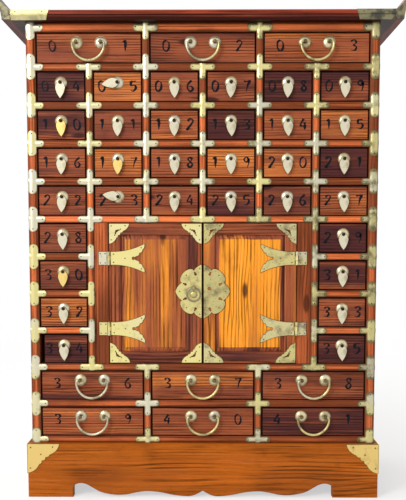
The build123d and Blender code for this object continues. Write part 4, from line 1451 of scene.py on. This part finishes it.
def drawer_wood_shape(name, number):
    """Front, sides, back and bottom of a drawer, with its number in ink."""
    low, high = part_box(name)
    face = drawer_face()
    row, column = place_of(name)
    shape = Shape(wood().seed + row * 40 + column)
    back = face + DRAWER_FRONT
    # The chamfers take the third, near-black material: painted shade of the gap round the drawer
    shape.board((low.x, face, low.z), (high.x, back, high.z), DRAWER_CHAMFER,
                grain="X", tone=tone_of(name), rim=2)
    floor, rim = low.z + BOX_FLOOR, high.z - BOX_DROP
    left, right = low.x + BOX_SIDE, high.x - BOX_SIDE
    for a, b in ((low.x, left), (right, high.x)):
        shape.board((a, back, floor), (b, high.y, rim), BOX_EASE, grain="Y", tone=0.62)
    shape.board((left, high.y - BOX_SIDE, floor), (right, high.y, rim), BOX_EASE, grain="X", tone=0.6)
    shape.board((low.x, back, low.z), (high.x, high.y, floor), BOX_EASE, grain="Y", tone=0.55)
    middle, height = pull_place(name)
    spread = WIDE_DIGITS if name.startswith("wide") else SMALL_DIGITS
    for digit, side in zip(f"{number:02d}", (-1, 1)):
        ink_digit(shape, digit, middle + side * spread, height - DIGIT_DROP, face)
    return shape


WIDE_DIGITS = 0.066
SMALL_DIGITS = 0.0285
DIGIT_DROP = 0.006
DIGIT_SIZE = 0.00118
BRUSH = 0.0018
INK_RISE = 0.00012
INK_SINK = 0.0002

# Strokes of the figures, on a grid about 8 across and 16 high

DIGITS = {
    "0": [[(0, 8), (-4, 5), (-4, -4), (0, -8), (4, -4), (4, 4), (0, 8)]],
    "1": [[(-3, 5), (0.5, 8), (0.3, 0), (0, -8)]],
    "2": [[(-4, 5), (0, 8), (4, 5), (1, -1), (-4, -7.5), (0, -6.8), (5, -7.4)]],
    "3": [[(-4, 6), (1, 8), (4, 4.5), (0, 0.6)], [(-1, 0.8), (4, -2), (2, -7), (-4, -6.5)]],
    "4": [[(1, 8), (-4.5, -2), (5, -1.6)], [(2, 3), (2, -3), (1.4, -8)]],
    "5": [[(-3, 7.5), (-3.4, 1), (2, 1.6), (4, -3), (0, -7.6), (-4, -6)], [(-3, 7.6), (1, 7.2), (4.4, 7.8)]],
    "6": [[(3, 8), (-2.5, 3), (-4, -3), (0, -8), (4, -4), (1, 0), (-3.4, -2)]],
    "7": [[(-4.4, 7), (0, 6.8), (4.4, 7.6), (1.4, 1), (-0.6, -8)]],
    "8": [[(3.4, 5), (0, 8), (-3.4, 5), (3.6, -3), (0, -8), (-3.8, -4), (0.4, 0.6), (3.4, 5)]],
    "9": [[(3.8, 4), (0, 8), (-3.8, 4), (0, 0.6), (3.6, 4), (3, -2), (0.6, -8)]],
}


def ink_digit(shape, digit, x, z, face):
    """Brushed figure: every stroke swells and thins along its way."""
    chance = random.Random(round((x * 7 + z * 3) * 1e4))
    lean = chance.uniform(-0.08, 0.08)
    size = DIGIT_SIZE * chance.uniform(0.94, 1.06)
    out, deep = face - INK_RISE, face + INK_SINK
    for stroke in DIGITS[digit]:
        line = curve([(x + size * (u + lean * v), z + size * v) for u, v in stroke], 6)
        press = chance.uniform(0.85, 1.15)
        last = len(line) - 1
        rings = []
        for i, p in enumerate(line):
            a, b = line[max(0, i - 1)], line[min(last, i + 1)]
            along = Vector((b[0] - a[0], b[1] - a[1])).normalized()
            t = i / last
            slant = 0.65 + 0.6 * abs(along.y)
            wide = BRUSH * press * slant * (0.62 + 0.5 * math.cos(5 * t) ** 2) * (1 - 0.62 * t ** 4)
            left = p[0] - along.y * wide, p[1] + along.x * wide
            right = p[0] + along.y * wide, p[1] - along.x * wide
            corners = ((left, out), (right, out), (right, deep), (left, deep))
            rings.append([(u, y, v) for (u, v), y in corners])
        shape.loft(rings, kind=1)


# Turned profiles of the pulls: radius and place from the drawer's face, or for the stud from the rosette

ROSETTE = (
    (0.0112, 0.0), (0.0112, -0.0006), (0.0108, -0.0010), (0.0102, -0.0010), (0.0098, -0.0014),
    (0.0088, -0.0022), (0.0072, -0.0030), (0.0052, -0.0037), (0.0034, -0.0040),
)
STUD = (
    (0.002, 0.0002), (0.002, -0.0031), (0.0030, -0.0032), (0.0032, -0.0036), (0.0030, -0.0042),
    (0.0018, -0.0047), (0.0005, -0.0048),
)
BAIL_EYE = ((0.0032, -0.0038), (0.0032, -0.0102), (0.0028, -0.0111), (0.0014, -0.0114))
EYE_SPREAD = 0.022
ROSETTE_HEIGHT = 0.004
# Painted shade outside the first radius, and a painted highlight between the two radii of the shine
ROSETTE_RIM = 0.0105
ROSETTE_SHINE = (0.0050, 0.0090)
LEAF_HALF = 0.0092
LEAF_SHOULDER = -0.010
LEAF_POINT = -0.029
LEAF_TOP = 0.005
LEAF_BORE = 0.00215
LEAF_FACE = -0.0065
LEAF_BACK = -0.0045
LEAF_EDGE = 0.0006


def rosette(shape, x, y, z):
    """Domed disc with a turned rim."""
    def worn(p):
        """Painted shade at the rim, and a painted highlight half way up the dome."""
        r = math.hypot(p[0] - x, p[2] - z)
        if r > ROSETTE_RIM:
            return -0.25
        return 0.35 if ROSETTE_SHINE[0] < r < ROSETTE_SHINE[1] else 0.0

    shape.lathe(ROSETTE, (x, y, z), count=40, tone=worn)


def pendant(shape, x, y, z, swing, kind, tone):
    """Leaf with a dark edge, hung on a dark headed stud; both darks are painted shade, with tarnish."""
    shape.lathe(STUD, (x, y - ROSETTE_HEIGHT, z), count=20, kind=1, tone=-0.4)
    shoulder = (LEAF_HALF, LEAF_SHOULDER)
    upper = (LEAF_HALF * 0.76, LEAF_SHOULDER * 0.16)
    flank = (LEAF_HALF * 0.68, LEAF_SHOULDER + (LEAF_POINT - LEAF_SHOULDER) * 0.5)
    right = [upper, shoulder, flank]
    loop = arcs((0, LEAF_TOP), *right, (0, LEAF_POINT), *mirrored(right))
    leaf = Shape(7).sheet(loop, [circle(0, 0, LEAF_BORE, 18)], LEAF_FACE, LEAF_BACK, LEAF_EDGE,
                          kind=kind, rim=1, tone=tone)
    shape.moved(leaf, Matrix.Translation((x, y, z)) @ Matrix.Rotation(swing, 4, "Y"))


def drawer_brass_shape(name):
    """Rosettes with a pendant, or with the two eyes of a bail."""
    face = drawer_face()
    middle, height = pull_place(name)
    row, column = place_of(name)
    shape = Shape(wood().seed + row * 60 + column)
    if name.startswith("wide"):
        for x in (middle - EYE_SPREAD, middle + EYE_SPREAD):
            rosette(shape, x, face, height)
            shape.lathe(BAIL_EYE, (x, face, height), count=20, kind=1)
        return shape
    rosette(shape, middle, face, height)
    chance = random.Random(row * 9 + column)
    by_chance = chance.uniform(-2.5, 2.5)
    swing = math.radians(SWUNG_LEAVES.get(key_of(name), by_chance))
    kind = 2 if key_of(name) in YELLOW_LEAVES else 0
    pendant(shape, middle, face, height, swing, kind, 0.72 + chance.uniform(-0.2, 0.2))
    return shape


BAIL_STANDOFF = 0.008
BAIL_RADIUS = 0.029
BAIL_BEND = 0.004
BAIL_END = 0.0174


def bail_shape(name):
    """Drop handle, thicker at the bottom, whose bent-in ends turn in the eyes."""
    middle, height = pull_place(name)
    y = drawer_face() - BAIL_STANDOFF
    r, bend = BAIL_RADIUS, BAIL_BEND
    lean = bend * (1 - math.sqrt(0.5))
    half = [(BAIL_END, 0), (r - bend, 0)] + arc((r - bend, 0), (r - lean, -lean), (r, -bend), 5)[1:]
    half += arc((r, -bend), (r * math.cos(0.8), -bend - r * math.sin(0.8)), (0, -bend - r), 18)[1:]
    loop = half + mirrored(half[:-1])
    swells = [min(1, max(0, -v / (r + bend))) for _, v in loop]
    radii = [brass().wire * (0.92 + 0.38 * swell ** 0.7) for swell in swells]
    return Shape(41).tube([(middle + u, y, height + v) for u, v in loop], radii, 14, tone=0.34)


# Studio

FLOOR_REACH = 20
FLOOR_PAINT = (0.95, 0.95, 0.94, 1)
PAPER_WHITE = (1, 1, 1, 1)
WHITE_FROM = 0.7
WHITE_TO = 2.6
SKY_TURN = 0.32
SENSOR_WIDTH = 36
AIM = (0, 0, 0.46)

# Place and size of each light

LIGHTS = {
    "key": ((-1.5, -1.75, 1.55), 0.8),
    "fill": ((1.7, -1.6, 1.1), 1.5),
    "back": ((0.6, 1.7, 1.7), 1.4),
}


def backdrop_rays(start):
    """1 for the rays that see the white background: from the camera, off metal and through glass."""
    names = [f"Is {kind} Ray" for kind in ("Camera", "Glossy", "Transmission")]
    camera, glossy, through = [start.node("ShaderNodeLightPath", None, name) for name in names]
    return start.maths("MAXIMUM", start.maths("MAXIMUM", camera, glossy), through)


def floor_paint(white):
    """Pale floor that keeps the shadow near the chest and fades to white away from it."""
    paint = bpy.data.materials.new("floor_paint")
    paint.use_nodes = True
    start = Wire(paint.node_tree)
    lit = start.node("ShaderNodeBsdfDiffuse", Color=FLOOR_PAINT)
    plain = start.node("ShaderNodeEmission", Color=PAPER_WHITE, Strength=1.0)
    spot = start.node("ShaderNodeNewGeometry", None, "Position")
    away = start.node("ShaderNodeVectorMath", {"operation": "LENGTH"}, "Value", i0=spot)
    glow = backdrop_rays(start) * away.step(WHITE_FROM, WHITE_TO, white, 1.0)
    both = start.node("ShaderNodeMixShader", i0=glow, i1=lit, i2=plain)
    start.plug(paint.node_tree.nodes["Material Output"], Surface=both)
    return paint


def add_floor(settings):
    """Wide floor under the chest."""
    mesh = bpy.data.meshes.new("floor")
    corners = ((-1, -1), (1, -1), (1, 1), (-1, 1))
    mesh.from_pydata([(FLOOR_REACH * u, FLOOR_REACH * v, 0) for u, v in corners], [], [(0, 1, 2, 3)])
    mesh.materials.append(floor_paint(settings.white))
    floor = new_object("floor", mesh)


def add_light(name, power):
    """Soft square light aimed at the middle of the chest."""
    place, size = LIGHTS[name]
    data = bpy.data.lights.new(name, "AREA")
    data.shape = "SQUARE"
    data.size = size
    data.energy = power
    lamp = new_object(name, data)
    lamp.location = place
    lamp.rotation_euler = (Vector(AIM) - Vector(place)).to_track_quat("-Z", "Y").to_euler()


def add_world(settings):
    """White world whose light on the chest falls off from left to right."""
    world = bpy.data.worlds.new("studio")
    world.use_nodes = True
    start = Wire(world.node_tree)
    seen = backdrop_rays(start)
    way = start.node("ShaderNodeTexCoord", None, "Generated")
    across = start.node("ShaderNodeSeparateXYZ", Vector=way)
    glow = across.step(-SKY_TURN, SKY_TURN, settings.sky, settings.dusk)
    start.plug(world.node_tree.nodes["Background"], Color=PAPER_WHITE, Strength=seen * (1 - glow) + glow)
    bpy.context.scene.world = world


def add_camera(settings):
    """Camera at the photograph's viewing angle."""
    view = bpy.data.cameras.new("camera")
    view.sensor_fit = "HORIZONTAL"
    view.sensor_width = SENSOR_WIDTH
    view.lens = settings.lens
    view.shift_y = settings.shift
    camera = new_object("camera", view)
    camera.location = settings.camera
    camera.rotation_euler = (math.pi / 2 - settings.pitch, 0, settings.yaw)
    bpy.context.scene.camera = camera


# Operators

class CHEST_OT_case(bpy.types.Operator):
    """Build the posts, sides, back, shelves and partitions"""

    bl_idname = "chest.case"
    bl_label = "Case"

    def execute(self, context):
        case_shape().piece("case_boards_wood", "case", ["case_wood"], "case_wood", "case_boards")
        frame_shape().piece("front_frame_wood", "case", ["frame_wood"], "frame_wood", "front_frame")
        return {"FINISHED"}


class CHEST_OT_base(bpy.types.Operator):
    """Build the base with its scalloped apron"""

    bl_idname = "chest.base"
    bl_label = "Base"

    def execute(self, context):
        base_shape().piece("base_wood", "case", ["base_wood"], "base_wood", "base_plinth")
        return {"FINISHED"}


class CHEST_OT_top(bpy.types.Operator):
    """Build the top board with its upturned ends"""

    bl_idname = "chest.top"
    bl_label = "Top"

    def execute(self, context):
        top_shape().piece("top_wood", "case", ["top_wood"], "top_wood", "top_board")
        return {"FINISHED"}


class CHEST_OT_fittings(bpy.types.Operator):
    """Build the fixed brass: joint plates, caps, base corners and hinge leaves"""

    bl_idname = "chest.fittings"
    bl_label = "Fixed brass"

    def execute(self, context):
        fittings = (
            (plates_shape, "joint_plates", "brass"),
            (caps_shape, "top_caps", "brass_cap"),
            (base_corners_shape, "base_corners", "brass_yellow"),
            (jamb_hinges_shape, "jamb_hinges", "brass"),
        )
        for shape, name, finish in fittings:
            shape().piece(name, "case", [finish, "nail_brass"], "brass", "brass_fittings")
        return {"FINISHED"}


class CHEST_OT_doors(bpy.types.Operator):
    """Build both doors, their brass and the pull ring"""

    bl_idname = "chest.doors"
    bl_label = "Doors"

    def execute(self, context):
        finish = ["brass_door", "nail_brass"]
        for body, side in (("left_door", -1), ("right_door", 1)):
            door_wood_shape(side).piece(f"{body}_wood", body, ["door_wood"], "door_wood", body)
            door_brass_shape(side).piece(f"{body}_plates", body, finish, "brass", f"{body}_brass")
        ring_shape().piece("pull_ring", "door_ring", ["brass_dark"], "brass", "door_ring")
        return {"FINISHED"}


class CHEST_OT_drawers(bpy.types.Operator):
    """Build every drawer with its pull and its bail"""

    bl_idname = "chest.drawers"
    bl_label = "Drawers"

    def execute(self, context):
        woods_used = ["drawer_wood", "ink", "grime"]
        pulls_used = ["brass_pale", "nail_brass", "brass_yellow"]
        drawers = sorted((n for n in frame["nodes"] if "drawer_row" in n), key=place_of)
        for number, name in enumerate(drawers, 1):
            drawer_wood_shape(name, number).piece(f"{name}_wood", name, woods_used, "drawer_wood", name)
            drawer_brass_shape(name).piece(f"{name}_pull", name, pulls_used, "brass", name)
        for name in sorted(n for n in frame["nodes"] if n.startswith("bail_")):
            bail_shape(name).piece(f"{name}_wire", name, ["brass"], "brass", name)
        return {"FINISHED"}


class CHEST_OT_studio(bpy.types.Operator):
    """Build the floor, the lights and the camera"""

    bl_idname = "chest.studio"
    bl_label = "Studio"

    def execute(self, context):
        settings = bpy.context.scene.chest_studio
        add_floor(settings)
        add_light("key", settings.key)
        add_light("fill", settings.fill)
        add_light("back", settings.key / 3)
        add_world(settings)
        add_camera(settings)
        bpy.context.scene.view_settings.view_transform = "Standard"
        return {"FINISHED"}


OPERATORS = (
    CHEST_OT_case, CHEST_OT_base, CHEST_OT_top, CHEST_OT_fittings, CHEST_OT_doors, CHEST_OT_drawers,
    CHEST_OT_studio,
)


class CHEST_PT_panel(bpy.types.Panel):
    """Lists the steps and the settings"""

    bl_idname = "CHEST_PT_panel"
    bl_label = "Medicine chest"
    bl_space_type = "VIEW_3D"
    bl_region_type = "UI"
    bl_category = "Chest"

    def draw(self, context):
        for operator in OPERATORS:
            self.layout.operator(operator.bl_idname)
        for key, group in GROUPS.items():
            box = self.layout.box()
            for name in group.__annotations__:
                box.prop(getattr(context.scene, key), name)


def register():
    """Adds the settings, the operators and the panel."""
    for key, group in GROUPS.items():
        bpy.utils.register_class(group)
        setattr(bpy.types.Scene, key, PointerProperty(type=group))
    for cls in OPERATORS + (CHEST_PT_panel,):
        bpy.utils.register_class(cls)


def unregister():
    """Takes them away again."""
    for cls in reversed(OPERATORS + (CHEST_PT_panel,)):
        bpy.utils.unregister_class(cls)
    for key, group in GROUPS.items():
        delattr(bpy.types.Scene, key)
        bpy.utils.unregister_class(group)


def main():
    """Builds everything."""
    register()
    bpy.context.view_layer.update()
    for operator in OPERATORS:
        getattr(bpy.ops.chest, operator.bl_idname.split(".")[1])()


if __name__ == "__main__":
    main()
